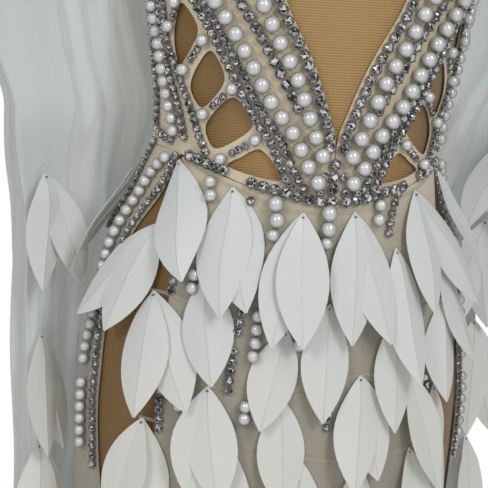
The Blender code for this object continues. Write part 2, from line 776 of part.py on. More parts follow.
def make_pearls(pearl):
    for side, hand in ((-1, "left"), (1, "right")):
        for name, points in BODICE_ROWS.items():
            row = [(side * a, h) for a, h in points]
            pearl_row(f"{name}_{hand}", row, PEARL_RADIUS, PEARL_SIDES, pearl)
        for name, points in SIDE_ROWS.items():
            row = [(side * a, h) for a, h in points]
            pearl_row(f"{name}_{hand}", row, SMALL_PEARL_RADIUS, SMALL_PEARL_SIDES, pearl)


clear_scene()
parts = bpy.data.collections.new("prom_dress")
cutters = bpy.data.collections.new("cutters")
bpy.context.scene.collection.children.link(parts)
bpy.context.scene.collection.children.link(cutters)

make_form(
    material("knit", (0.38, 0.21, 0.08), 0.55),
    material("black_metal", (0.02, 0.02, 0.022), 0.35, 0.8),
    material("dark_wood", (0.12, 0.06, 0.03), 0.4),
)
ivory_net = material("ivory_net", (0.62, 0.54, 0.42), 0.7)
make_bodice(ivory_net)
make_skirt(ivory_net)
make_sleeves(material("white_tulle", (0.75, 0.76, 0.77), 0.7))
satin = material("satin_petal", (0.78, 0.80, 0.82), 0.35)
make_body_petals(satin)
make_sleeve_petals(satin)
make_pearls(material("pearl", (0.80, 0.79, 0.77), 0.15))

for obj in cutters.objects:
    obj.hide_render = True
    obj.display_type = "WIRE"
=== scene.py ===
# A prom dress on a limbless dress form: the looks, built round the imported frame.
import math
import random

import bpy
import numpy as np
from mathutils import Matrix, Vector


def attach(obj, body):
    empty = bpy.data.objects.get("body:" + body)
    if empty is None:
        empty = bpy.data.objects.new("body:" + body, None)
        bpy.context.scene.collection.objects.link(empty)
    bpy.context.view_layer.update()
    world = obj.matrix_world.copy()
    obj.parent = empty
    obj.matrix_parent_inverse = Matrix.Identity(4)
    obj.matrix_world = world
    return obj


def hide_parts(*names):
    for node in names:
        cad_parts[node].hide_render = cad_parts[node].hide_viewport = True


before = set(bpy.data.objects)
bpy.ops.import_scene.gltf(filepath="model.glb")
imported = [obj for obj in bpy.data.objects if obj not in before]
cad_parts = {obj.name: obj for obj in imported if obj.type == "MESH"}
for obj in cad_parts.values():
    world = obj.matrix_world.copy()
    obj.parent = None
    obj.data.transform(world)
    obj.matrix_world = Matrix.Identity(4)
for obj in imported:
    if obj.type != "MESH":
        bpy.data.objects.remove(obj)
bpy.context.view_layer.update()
chance = random.Random(11)
sides = ((-1, "left"), (1, "right"))  # as they are seen from the front: left is at -X
print("frame loaded,", len(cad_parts), "nodes")


# small helpers
def clearSelection():
    if bpy.context.mode != "OBJECT":
        bpy.ops.object.mode_set(mode="OBJECT")
    bpy.ops.object.select_all(action="DESELECT")


def pick(piece):
    clearSelection()
    piece.select_set(True)
    bpy.context.view_layer.objects.active = piece


def applyModifiers(piece):
    pick(piece)
    for modifier in list(piece.modifiers):
        bpy.ops.object.modifier_apply(modifier=modifier.name)


def smoothed(piece, degrees=180):
    pick(piece)
    bpy.ops.object.shade_smooth_by_angle(angle=math.radians(degrees))


def pointsOf(piece):
    return np.array([vertex.co for vertex in piece.data.vertices])


def faceOutwards(piece):
    pick(piece)
    bpy.ops.object.mode_set(mode="EDIT")
    bpy.ops.mesh.select_all(action="SELECT")
    bpy.ops.mesh.remove_doubles(threshold=0.00002)
    bpy.ops.mesh.normals_make_consistent(inside=False)
    bpy.ops.object.mode_set(mode="OBJECT")


def dress(piece, name, finish, slot, *nodes):  # names a finished piece and hangs it on the frame
    piece.name = piece.data.name = name
    piece.data.materials.clear()
    piece.data.materials.append(finish)
    if nodes:
        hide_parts(*nodes)
    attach(piece, "root")
    return piece


# shader sums written as Python
class Wire:
    def __init__(self, paint, socket):
        self.paint = paint
        self.socket = socket

    def sum(self, kind, other=0.0, swapped=False):
        first, second = (other, self) if swapped else (self, other)
        return self.paint.node("ShaderNodeMath", {"operation": kind}, {0: first, 1: second})

    def __add__(self, other):
        return self.sum("ADD", other)

    __radd__ = __add__

    def __sub__(self, other):
        return self.sum("SUBTRACT", other)

    def __rsub__(self, other):
        return self.sum("SUBTRACT", other, True)

    def __mul__(self, other):
        return self.sum("MULTIPLY", other)

    __rmul__ = __mul__

    def __truediv__(self, other):
        return self.sum("DIVIDE", other)


class Paint:
    def __init__(self, name, **fixed):
        self.material = bpy.data.materials.new(name)
        self.material.use_nodes = True
        self.tree = self.material.node_tree
        self.shader = self.tree.nodes["Principled BSDF"]
        for socket, value in fixed.items():
            self.shader.inputs[socket.replace("_", " ")].default_value = value

    def node(self, kind, settings=None, sockets=None, out=0):
        made = self.tree.nodes.new(kind)
        for setting, value in (settings or {}).items():
            if setting == "stops":
                ramp = made.color_ramp.elements
                while len(ramp) < len(value):
                    ramp.new(0.5)
                for element, (place, colour) in zip(ramp, value):
                    element.position = place
                    element.color = (*colour, 1)
            else:
                setattr(made, setting, value)
        for socket, value in (sockets or {}).items():
            self.feed(made.inputs[socket], value)
        return Wire(self, made.outputs[out])

    def feed(self, socket, value):
        if isinstance(value, Wire):
            self.tree.links.new(value.socket, socket)
        else:
            socket.default_value = value

    def set(self, **sockets):
        for socket, value in sockets.items():
            self.feed(self.shader.inputs[socket.replace("_", " ")], value)
        return self

    def place(self):
        return self.node("ShaderNodeTexCoord", out=3)

    def split(self, vector):
        return [self.node("ShaderNodeSeparateXYZ", None, {0: vector}, out) for out in range(3)]

    def noise(self, vector, scale, detail=2.0, roughness=0.5):
        values = {"Vector": vector, "Scale": scale, "Detail": detail, "Roughness": roughness}
        return self.node("ShaderNodeTexNoise", None, values)

    def drawn(self, across, up, detail, roughness=0.5):  # noise on a map stretched by the caller
        flat = self.node("ShaderNodeCombineXYZ", None, {0: across, 1: up})
        return self.noise(flat, 1.0, detail, roughness)

    def between(self, value, start, end):  # 0 at the start, 1 at the end
        return self.node("ShaderNodeMapRange", None, {0: value, 1: start, 2: end})

    def mix(self, share, first, second):
        full = [colour if isinstance(colour, Wire) else (*colour, 1) for colour in (first, second)]
        return self.node("ShaderNodeMix", {"data_type": "RGBA"}, {0: share, 6: full[0], 7: full[1]}, 2)

    def bump(self, height, depth):
        return self.node("ShaderNodeBump", None, {"Height": height, "Distance": depth})


# the body's own shape, as the frame has it
form = {
    "waistHeight": 1.04,
    "bottom": -0.430,
    "top": 0.450,
    "sections": (  # height over the waist, half width, half depth, how far the centre is set back
        (-0.430, 0.151, 0.107, 0.002), (-0.330, 0.158, 0.113, 0.004), (-0.230, 0.162, 0.117, 0.007),
        (-0.160, 0.1543, 0.115, 0.005), (-0.100, 0.144, 0.109, -0.001),
        (-0.050, 0.1225, 0.102, -0.008), (0.000, 0.1112, 0.094, -0.015),
        (0.050, 0.1187, 0.090, -0.020), (0.100, 0.1262, 0.089, -0.022),
        (0.180, 0.1407, 0.093, -0.018), (0.260, 0.160, 0.097, -0.007), (0.320, 0.166, 0.086, 0.004),
        (0.346, 0.158, 0.074, 0.008), (0.362, 0.130, 0.064, 0.010), (0.378, 0.092, 0.058, 0.012),
        (0.394, 0.066, 0.054, 0.013), (0.450, 0.054, 0.052, 0.010),
    ),
    "bustHalfSpacing": 0.082,
    "bustHeight": 0.178,
    "bustPush": 0.030,
    "bustHalfWidth": 0.052,
    "bustHalfHeight": 0.048,
    "around": 96,
    "up": 110,
    "ribPitch": 0.00202,
}


def curveThrough(rows, column):
    rows = sorted(rows)
    places = np.array([row[0] for row in rows], float)
    values = np.array([row[column] for row in rows], float)
    chords = np.diff(values) / np.diff(places)
    slopes = np.concatenate([chords[:1], chords[1:], chords[-1:]])
    for i in range(1, len(values) - 1):
        before, after = chords[i - 1], chords[i]
        slopes[i] = 0 if before * after <= 0 else 2 * before * after / (before + after)

    def value(place):
        place = np.clip(place, places[0], places[-1])
        i = np.clip(np.searchsorted(places, place) - 1, 0, len(places) - 2)
        span = places[i + 1] - places[i]
        t = (place - places[i]) / span
        return (
            (2 * t**3 - 3 * t**2 + 1) * values[i] + (t**3 - 2 * t**2 + t) * span * slopes[i]
            + (3 * t**2 - 2 * t**3) * values[i + 1] + (t**3 - t**2) * span * slopes[i + 1]
        )

    return value


halfWidth, halfDepth, setBack = (curveThrough(form["sections"], column) for column in (1, 2, 3))


def skin(angle, height):  # points on the form, from an angle off the front and a height over the waist
    turn = np.radians(angle)
    x = halfWidth(height) * np.sin(turn)
    y = setBack(height) - halfDepth(height) * np.cos(turn)
    facing = np.clip(np.cos(turn), 0, None) ** 0.5
    for side in (-1, 1):
        across = (x - side * form["bustHalfSpacing"]) / form["bustHalfWidth"]
        up = (height - form["bustHeight"]) / form["bustHalfHeight"]
        y = y - form["bustPush"] * facing * np.exp(-across * across - up * up)
    return np.stack(np.broadcast_arrays(x, y, form["waistHeight"] + height), axis=-1)


def outwards(angle, height):
    across = skin(angle + 0.5, height) - skin(angle - 0.5, height)
    up = skin(angle, height + 0.001) - skin(angle, height - 0.001)
    normal = np.cross(across, up)
    return normal / np.linalg.norm(normal, axis=-1, keepdims=True)


def offSkin(angle, height, lift):
    angle, height, lift = np.broadcast_arrays(*(np.asarray(x, float) for x in (angle, height, lift)))
    return skin(angle, height) + lift[..., None] * outwards(angle, height)


def degreeWidth(height):  # metres for one degree round the form
    return math.radians(1) * (halfWidth(height) + halfDepth(height)) / 2


# a sheet or tube: a grid whose points are put where a function says, with its map in metres
def laidGrid(columns, rows, place, tube=False):
    clearSelection()
    bpy.ops.mesh.primitive_grid_add(x_subdivisions=columns, y_subdivisions=rows, size=2)
    sheet = bpy.context.object
    flat = pointsOf(sheet)
    across, up = (flat[:, 0] + 1) / 2, (flat[:, 1] + 1) / 2
    points = place(across, up)
    sheet.data.vertices.foreach_set("co", points.astype(np.float32).ravel())
    middle = np.abs(up - 0.5) < 0.5 / rows + 1e-6
    order = np.argsort(across[middle])
    width = np.linalg.norm(np.diff(points[middle][order], axis=0), axis=1).sum() / 2
    edge = across < 1e-6
    order = np.argsort(up[edge])
    length = np.linalg.norm(np.diff(points[edge][order], axis=0), axis=1).sum()
    width = min(width, 2.0)
    for loop in sheet.data.uv_layers.active.data:
        loop.uv = (loop.uv[0] * width, loop.uv[1] * length)
    if tube:
        faceOutwards(sheet)
    return sheet


def thickened(sheet, thickness, outward=1.0):
    wall = sheet.modifiers.new("wall", "SOLIDIFY")
    wall.thickness = thickness
    wall.offset = outward
    applyModifiers(sheet)
    return sheet


# finishes
def knitFinish():
    paint = Paint("goldenKnit", Sheen_Weight=0.2, Sheen_Roughness=0.45, Specular_IOR_Level=0.35)
    place = paint.place()
    sideways, _, height = paint.split(place)
    ribs = (height * (2 * math.pi / form["ribPitch"])).sum("SINE")
    cloud = paint.noise(place, 9.0, 3.0)
    grain = paint.noise(place, 900.0, 2.0)
    colour = paint.mix(cloud, (0.395, 0.243, 0.090), (0.468, 0.294, 0.117))
    colour = paint.mix((ribs * 0.5 + 0.5) * 0.28, colour, (0.29, 0.16, 0.056))
    # painted shade: the knit darkens towards the sides of the form, where shade falls
    side = paint.between(sideways.sum("ABSOLUTE"), 0.045, 0.085)
    colour = paint.mix(side * 0.85, colour, (0.225, 0.128, 0.044))
    paint.set(Base_Color=colour, Roughness=0.5 + grain * 0.12)
    paint.set(Normal=paint.bump(ribs * 0.4 + grain * 0.6, 0.0004))
    return paint.material


def netFinish(name, colour, shade, thin, thick, cell, low=None):
    paint = Paint(name, Roughness=0.75, Sheen_Weight=0.3, Specular_IOR_Level=0.25)
    across, up, _ = paint.split(paint.node("ShaderNodeUVMap"))
    threads = None
    for slant in (across + up, across - up):
        line = ((slant / cell).sum("FRACT") - 0.5).sum("ABSOLUTE") * 2
        threads = line if threads is None else threads.sum("MAXIMUM", line)
    threads = (threads * 1.6 - 0.7).sum("MAXIMUM", 0.0).sum("MINIMUM", 1.0)
    place = paint.place()
    cloud = paint.noise(place, 26.0, 3.0)
    tone = paint.mix(cloud, colour, shade)
    if low:  # duller from the waist down
        tone = paint.mix(paint.between(paint.split(place)[2], 1.03, 0.94), tone, low)
    paint.set(
        Base_Color=tone,
        Alpha=thin + threads * (thick - thin) + (cloud - 0.5) * 0.12,
        Normal=paint.bump(threads, 0.0002),
    )
    return paint.material


def tulleFinish():  # soft vertical bands where the folds lie over each other
    # its emission is painted light: the tulle glows a little so it looks lit through
    paint = Paint("whiteTulle", Roughness=0.8, Sheen_Weight=0.4, Specular_IOR_Level=0.2,
                  Emission_Strength=0.13)
    around, up, _ = paint.split(paint.node("ShaderNodeUVMap"))
    bands = paint.drawn(around * 34.0, up * 1.3, 3.0, 0.6)
    fine = paint.drawn(around * 1500.0, up * 1500.0, 1.0)
    layer = paint.between(bands, 0.47, 0.52)
    line = (1 - ((bands - 0.5).sum("ABSOLUTE") * 45.0)).sum("MAXIMUM", 0.0)
    # painted glow, brighter near the body, lifts the shade between sleeve and body
    inside = paint.between(paint.split(paint.place())[0].sum("ABSOLUTE"), 0.205, 0.150)
    colour = paint.mix(layer, (0.73, 0.725, 0.70), (0.67, 0.705, 0.715))
    paint.set(
        Base_Color=paint.mix(line * 0.45, colour, (0.52, 0.50, 0.46)),
        Alpha=(0.40 + bands * 0.30 + layer * 0.20 + fine * 0.08).sum("MINIMUM", 1.0),
        Normal=paint.bump(bands * 0.8 + fine * 0.2, 0.0012),
        Emission_Color=paint.mix(inside, (0.30, 0.31, 0.31), (0.74, 0.80, 0.82)),
    )
    return paint.material


def petalFinish():
    # its faint emission is painted light: the satin glows a little, so its shaded backs look lit through
    paint = Paint("satinPetal", Sheen_Weight=0.1, Specular_IOR_Level=0.4, Coat_Weight=0.04,
                  Emission_Color=(0.95, 0.90, 0.80, 1), Emission_Strength=0.045)
    place = paint.place()
    across, down, _ = paint.split(paint.node("ShaderNodeUVMap"))
    fibre = paint.drawn(across * 60.0, down * 2.5, 3.0)
    cloud = paint.noise(place, 18.0, 2.0)
    # the midrib: a bump, and a painted shade line that darkens its crease
    midribAndCreaseShade = 1 - ((across - 0.5).sum("ABSOLUTE") * 34.0).sum("MINIMUM", 1.0)
    low = paint.between(paint.split(place)[2], 1.00, 0.72)
    bright = paint.mix(cloud * 0.5 + fibre * 0.35, (0.575, 0.61, 0.62), (0.675, 0.695, 0.685))
    dull = paint.mix(cloud * 0.5 + fibre * 0.35, (0.65, 0.65, 0.61), (0.72, 0.71, 0.665))
    paint.set(
        Base_Color=paint.mix(midribAndCreaseShade * 0.12, paint.mix(low, bright, dull), (0.50, 0.50, 0.48)),
        Roughness=0.42 + fibre * 0.14,
        Normal=paint.bump(midribAndCreaseShade + fibre * 0.2, 0.00028),
    )
    return paint.material


def pearlFinish():
    paint = Paint("pearl", Roughness=0.3, Coat_Weight=1.0, Coat_IOR=2.2, Coat_Roughness=0.11,
                  Specular_IOR_Level=0.3)
    glow = paint.noise(paint.place(), 60.0, 2.0)
    # painted shade: each pearl darkens towards its rims as the surface turns away
    facing = paint.node("ShaderNodeLayerWeight", None, {"Blend": 0.6}, 1)
    colour = paint.mix(glow, (0.70, 0.715, 0.71), (0.80, 0.81, 0.80))
    paint.set(Base_Color=paint.mix(facing, colour, (0.11, 0.105, 0.095)))
    return paint.material


def stoneFinish():
    paint = Paint("crystal", Roughness=0.05, Specular_IOR_Level=0.8, Coat_Weight=0.7, Coat_Roughness=0.02)
    # painted reflections: each facet gets a random tone from black to white, standing in for a cut stone's
    # glints
    spark = paint.node("ShaderNodeAttribute", {"attribute_name": "spark"}, out=2)
    colour = paint.node("ShaderNodeValToRGB", {"stops": (
        (0.0, (0.010, 0.010, 0.012)), (0.34, (0.055, 0.052, 0.056)), (0.52, (0.30, 0.295, 0.30)),
        (0.72, (0.70, 0.69, 0.69)), (0.9, (0.98, 0.98, 0.98)),
    )}, {0: spark})
    paint.set(Base_Color=colour, Metallic=0.45 - spark * 0.25)
    return paint.material


def plainFinish(name, colour, other, scale, roughness, grain=0.0, **fixed):
    paint = Paint(name, **fixed)
    place = paint.place()
    cloud = paint.noise(place, scale, 4.0)
    paint.set(Base_Color=paint.mix(cloud, colour, other), Roughness=roughness + cloud * 0.12)
    if grain:
        paint.set(Normal=paint.bump(paint.noise(place, scale * 6, 3.0), grain))
    return paint.material


def woodFinish():
    paint = Paint("darkWood", Coat_Weight=0.35, Coat_Roughness=0.12)
    place = paint.place()
    drawn = paint.node("ShaderNodeMapping", None, {"Vector": place, "Scale": (1.0, 9.0, 9.0)})
    grain = paint.noise(drawn, 30.0, 5.0, 0.65)
    paint.set(
        Base_Color=paint.mix(grain, (0.055, 0.026, 0.013), (0.19, 0.10, 0.05)),
        Roughness=0.32 + grain * 0.15,
        Normal=paint.bump(grain, 0.0003),
    )
    return paint.material


knit = knitFinish()
net = netFinish("ivoryNet", (1.0, 0.90, 0.69), (0.94, 0.835, 0.61), 0.50, 0.95, 0.0013, (0.54, 0.505, 0.415))
tapeNet = netFinish("tapeNet", (0.66, 0.61, 0.48), (0.58, 0.53, 0.42), 0.05, 0.30, 0.0010)
tapeTulle = netFinish("tapeTulle", (0.74, 0.75, 0.74), (0.68, 0.70, 0.70), 0.02, 0.16, 0.0010)
tulle = tulleFinish()
satin = petalFinish()
pearl = pearlFinish()
stone = stoneFinish()
setting = plainFinish("silverSetting", (0.16, 0.16, 0.165), (0.58, 0.57, 0.57), 420.0, 0.2, Metallic=0.85)
thread = plainFinish("thread", (0.20, 0.20, 0.195), (0.10, 0.10, 0.10), 400.0, 0.6)
blackMetal = plainFinish("blackMetal", (0.016, 0.016, 0.018), (0.03, 0.03, 0.032), 120.0, 0.32, 0.00005,
                         Metallic=0.35, Coat_Weight=0.2)
wood = woodFinish()
print("finishes made")


# the dress form
def makeForm():
    def place(across, up):
        height = form["bottom"] + (form["top"] - form["bottom"]) * up
        return skin(across * 360 - 180, height)

    body = laidGrid(form["around"], form["up"], place, tube=True)
    bpy.ops.object.mode_set(mode="EDIT")
    bpy.ops.mesh.select_all(action="DESELECT")
    bpy.ops.mesh.select_non_manifold()
    bpy.ops.mesh.edge_face_add()
    bpy.ops.mesh.select_all(action="SELECT")
    bpy.ops.mesh.normals_make_consistent(inside=False)
    bpy.ops.object.mode_set(mode="OBJECT")
    smoothed(body, 50)
    dress(body, "formKnit", knit, "knit", "form_body")


makeForm()
for nodeName, finish in (("form_neck_cap", wood), ("stand_pole", blackMetal), ("stand_base", blackMetal)):
    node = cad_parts[nodeName]
    node.data.materials.clear()
    node.data.materials.append(finish)
print("form made")


# the net panels: bodice with its lattice windows, skirt with its hip cut-outs
cut = {
    "lift": 0.0023, "thickness": 0.0004, "seamGap": 0.0004,
    "neckline": (
        (-0.0045, 0.0003), (0.005, 0.0012), (0.022, 0.0068), (0.038, 0.0125), (0.055, 0.0195),
        (0.071, 0.0275), (0.102, 0.0443), (0.180, 0.070), (0.260, 0.085), (0.372, 0.094),
    ),
    "waistPoint": -0.0455, "waistSide": -0.016, "waistSideAngle": 78,
    "sideSeam": 80, "seamStep": 10, "stepHeight": 0.268, "stepRise": 0.008,  # it steps back at the armhole
    "edgeClear": 0.1,  # degrees from a seam to a panel's edge
    "backNeck": 0.340, "shoulder": 0.370, "hem": -0.415,
    "armhole": {"angle": 88, "height": 0.275, "halfAngle": 30, "halfHeight": 0.070},
    "windows": (  # angle and height of the top, inner, bottom and outer corner
        (69, 0.136, 66, 0.120, 70, 0.104, 73, 0.120),
        (62.3, 0.0965, 54.5, 0.077, 65, 0.050, 67.8, 0.0712),
        (49.5, 0.063, 43.5, 0.042, 54.5, 0.020, 60, 0.036),
        (40.5, 0.030, 32.5, 0.010, 47, -0.010, 53, 0.007),
        (28.3, -0.0075, 19.6, -0.0292, 40.2, -0.0225, 36, -0.0142),
    ),
    "windowBulge": 0.22,
    "windowPlug": (-0.004, 0.008), "armholePlug": (-0.012, 0.045),  # how far the cutters reach in and out
    "hips": (  # height, front edge's angle, back edge's angle
        (-0.0165, 63.8, 64.2), (-0.040, 58.5, 66.5), (-0.080, 51.5, 72.5), (-0.120, 48.0, 74.0),
        (-0.160, 46.5, 73.5), (-0.200, 45.5, 71.0), (-0.270, 47.0, 68.5), (-0.320, 54.0, 65.0),
        (-0.345, 62.0, 62.3), (-0.415, 62.0, 62.3),
    ),
}
neckline = curveThrough(cut["neckline"], 1)
hipFront, hipBack = curveThrough(cut["hips"], 1), curveThrough(cut["hips"], 2)


def neckAngle(height):
    return np.degrees(np.arcsin(np.clip(neckline(height) / halfWidth(height), 0, 1)))


def waistLine(angle):
    share = np.minimum(np.minimum(np.abs(angle), 360 - angle) / cut["waistSideAngle"], 1)
    dip = np.cos(np.radians(90 * share)) ** 2
    return cut["waistSide"] + (cut["waistPoint"] - cut["waistSide"]) * dip


def netPanel(columns, rows, near, far, low, high):  # its rows go over from the low line to the high one
    bottom, top = low(30), high(30)

    def place(across, up):
        level = bottom + (top - bottom) * up
        angle = near(level) + (far(level) - near(level)) * across
        start, end = low(angle), high(angle)
        height = start + (end - start) * up
        angle = near(height) + (far(height) - near(height)) * across
        return offSkin(angle, height, cut["lift"])

    return thickened(laidGrid(columns, rows, place), cut["thickness"])


def windowOutline(corners, side):
    points = [(side * corners[i], corners[i + 1]) for i in (0, 2, 4, 6)]
    middle = np.mean(points, axis=0)
    outline = []
    for a, b in zip(points, points[1:] + points[:1]):
        outline.append(a)
        half = (np.array(a) + b) / 2
        outline.append(tuple(half + (half - middle) * cut["windowBulge"]))
    return outline


def roundOutline(outline):  # the outline's corners rounded, as points on a closed smooth curve
    corners = np.array(outline)
    count, steps = len(corners), 5
    found = []
    for i in range(count):
        before, here, ahead, further = (corners[(i + k) % count] for k in (-1, 0, 1, 2))
        for t in np.arange(steps) / steps:
            found.append(0.5 * (
                2 * here + (ahead - before) * t + (2 * before - 5 * here + 4 * ahead - further) * t**2
                + (3 * here - before - 3 * ahead + further) * t**3
            ))
    return np.array(found)


def throughCutter(outline, lifts):  # a plug through the cloth, from a circle put on the outline
    clearSelection()
    bpy.ops.mesh.primitive_cylinder_add(vertices=len(outline), radius=1, depth=2, end_fill_type="NGON")
    plug = bpy.context.object
    for vertex in plug.data.vertices:
        turn = math.atan2(vertex.co.x, vertex.co.y) / (2 * math.pi) % 1
        angle, height = outline[int(round(turn * len(outline))) % len(outline)]
        vertex.co = offSkin(angle, height, lifts[0] if vertex.co.z < 0 else lifts[1])
    faceOutwards(plug)
    return plug


def finishNet(panel, name, node, plugs=()):
    for plug in plugs:
        hole = panel.modifiers.new("hole", "BOOLEAN")
        hole.operation = "DIFFERENCE"
        hole.object = plug
    applyModifiers(panel)
    smoothed(panel, 40)
    return dress(panel, name, net, "ivory_net", node)


def armholePlug(side):
    hole = cut["armhole"]
    turns = np.arange(32) * 2 * math.pi / 32
    outline = np.stack([
        side * (hole["angle"] + hole["halfAngle"] * np.cos(turns)),
        hole["height"] + hole["halfHeight"] * np.sin(turns),
    ], axis=-1)
    return throughCutter(outline, cut["armholePlug"])


def seam(step):  # the side seam, or an edge some degrees off it
    def angle(height):
        back = np.clip((height - cut["stepHeight"]) / cut["stepRise"], 0, 1)
        return cut["sideSeam"] + cut["seamStep"] * back + step

    return angle


def onSide(side, inner, outer):  # two edges on one side, in the order that faces the cloth outwards
    edges = [lambda height, edge=edge: side * edge(height) for edge in (inner, outer)]
    return edges if side > 0 else edges[::-1]


def makeBodice():
    clear = cut["edgeClear"]
    armholes = {side: armholePlug(side) for side in (-1, 1)}
    plugs = list(armholes.values())
    for side, hand in sides:
        windows = [throughCutter(roundOutline(windowOutline(row, side)), cut["windowPlug"])
                   for row in cut["windows"]]
        plugs += windows
        edges = onSide(side, lambda height: np.maximum(neckAngle(height), clear), seam(-clear))
        front = netPanel(56, 84, *edges, lambda angle: waistLine(angle) + cut["seamGap"] / 2,
                         lambda angle: cut["shoulder"])
        piece = finishNet(front, f"bodiceFront{hand.title()}", f"bodice_front_{hand}",
                          [*windows, armholes[side]])
        edges = onSide(side, seam(clear), lambda height: 180 - neckAngle(height))
        strap = netPanel(34, 10, *edges, lambda angle: cut["backNeck"] + cut["seamGap"],
                         lambda angle: cut["shoulder"])
        piece = finishNet(strap, f"shoulderBack{hand.title()}", f"shoulder_back_{hand}", [armholes[side]])
    back = netPanel(90, 64, seam(clear), lambda height: 360 - seam(clear)(height),
                    lambda angle: cut["waistSide"] + cut["seamGap"] / 2, lambda angle: cut["backNeck"])
    piece = finishNet(back, "bodiceBack", "bodice_back", armholes.values())
    for plug in plugs:
        bpy.data.objects.remove(plug)


def makeSkirt():
    lines = (lambda angle: cut["hem"], lambda angle: waistLine(angle) - cut["seamGap"] / 2)
    front = netPanel(60, 84, lambda height: -hipFront(height), hipFront, *lines)
    piece = finishNet(front, "skirtFront", "skirt_front")
    back = netPanel(110, 84, hipBack, lambda height: 360 - hipBack(height), *lines)
    piece = finishNet(back, "skirtBack", "skirt_back")


makeBodice()
makeSkirt()
print("net panels made")


# the sleeves
sleeve = {
    "sections": (  # height, sideways, back, half thickness, half depth, turn to the back, tip
        (0.244, 0.208, 0.003, 0.064, 0.066, 0, 45), (0.186, 0.212, 0.016, 0.058, 0.074, 20, 72),
        (0.110, 0.188, 0.040, 0.050, 0.090, 50, 90), (0.050, 0.1665, 0.055, 0.046, 0.091, 57, 90),
        (0.000, 0.150, 0.070, 0.041, 0.092, 54, 90), (-0.060, 0.150, 0.099, 0.036, 0.086, 47, 90),
        (-0.130, 0.160, 0.108, 0.029, 0.072, 39, 90), (-0.220, 0.169, 0.0985, 0.0245, 0.067, 30, 90),
        (-0.310, 0.169, 0.092, 0.0235, 0.067, 25, 90), (-0.400, 0.165, 0.089, 0.026, 0.073, 25, 90),
    ),
    "top": 0.244, "hem": -0.400, "capLift": 0.0039,
    "folds": 5, "foldDepth": 0.09, "crest": -110,
    "thickness": 0.0004,
    "capShare": 0.14,  # the share of the rows that run from the armhole to the first level
    "creases": ((13, 0.6, 0.0018), (21, 2.1, 0.0010), (8, 4.0, 0.0024)),  # how many, where, how deep
    "gathers": 22, "gatherDepth": 0.0012,  # round the armhole
}
sleeveColumns = [curveThrough(sleeve["sections"], column) for column in range(1, 7)]


def onSleeve(place, height, lift=0.0, creased=False):
    middleX, middleY, thick, deep, turn, tip = (column(height) for column in sleeveColumns)
    turn, tip = np.radians(turn), np.radians(tip)
    flat = 0 * height
    out = np.stack([np.cos(turn) * np.sin(tip), np.sin(turn) * np.sin(tip), np.cos(tip)], axis=-1)
    back = np.stack([-np.sin(turn), np.cos(turn), flat], axis=-1)
    middle = np.stack([middleX, middleY, form["waistHeight"] + height], axis=-1)
    hang = np.clip((0.20 - height) / 0.25, 0, 1)
    around = np.radians(place)
    wave = np.cos(sleeve["folds"] * (around - math.radians(sleeve["crest"])))
    fold = 1 + sleeve["foldDepth"] * hang * wave
    x, y = thick * fold * np.cos(around), deep * fold * np.sin(around)
    away = out * (x / thick**2)[..., None] + back * (y / deep**2)[..., None]
    away = away / np.linalg.norm(away, axis=-1, keepdims=True)
    rise = lift
    if creased:
        uneven = around + 0.24 * np.sin(2 * around + 0.7) + 0.09 * np.sin(5 * around + 2.0)
        for count, start, depth in sleeve["creases"]:
            drift = 1.5 * np.sin(height * 9 + start)
            rise = rise + depth * (0.4 + 0.6 * hang) * (np.sin(count * uneven + start + drift) - 0.45)
    return middle + out * x[..., None] + back * y[..., None] + away * np.expand_dims(rise, -1)


def armholeRing(place):
    hole = cut["armhole"]  # the sleeve starts just outside it
    around = np.radians(place)
    angle = hole["angle"] + (hole["halfAngle"] + 0.4) * np.sin(around)
    height = hole["height"] + (hole["halfHeight"] + 0.0006) * np.cos(around)
    return offSkin(angle, height, sleeve["capLift"])


def makeSleeves():
    for side, hand in sides:

        def place(across, up):
            around = across * 360
            down = 1 - up
            cap = np.clip(down / sleeve["capShare"], 0, 1)
            below = np.clip((down - sleeve["capShare"]) / (1 - sleeve["capShare"]), 0, 1)
            height = sleeve["top"] + (sleeve["hem"] - sleeve["top"]) * below
            points = onSleeve(around, height, 0.0, True)
            start = armholeRing(around)
            gathers = np.sin(np.radians(around) * sleeve["gathers"]) * np.sin(math.pi * cap) ** 0.7
            points = start + (points - start) * cap[..., None]
            points[:, 0] += sleeve["gatherDepth"] * gathers
            points[:, 0] *= side
            return points

        tube = laidGrid(110, 110, place, tube=True)
        thickened(tube, sleeve["thickness"], -1.0)
        smoothed(tube, 60)
        piece = dress(tube, f"sleeve{hand.title()}", tulle, "white_tulle",
                      f"sleeve_{hand}_front", f"sleeve_{hand}_back")


makeSleeves()
print("sleeves made")


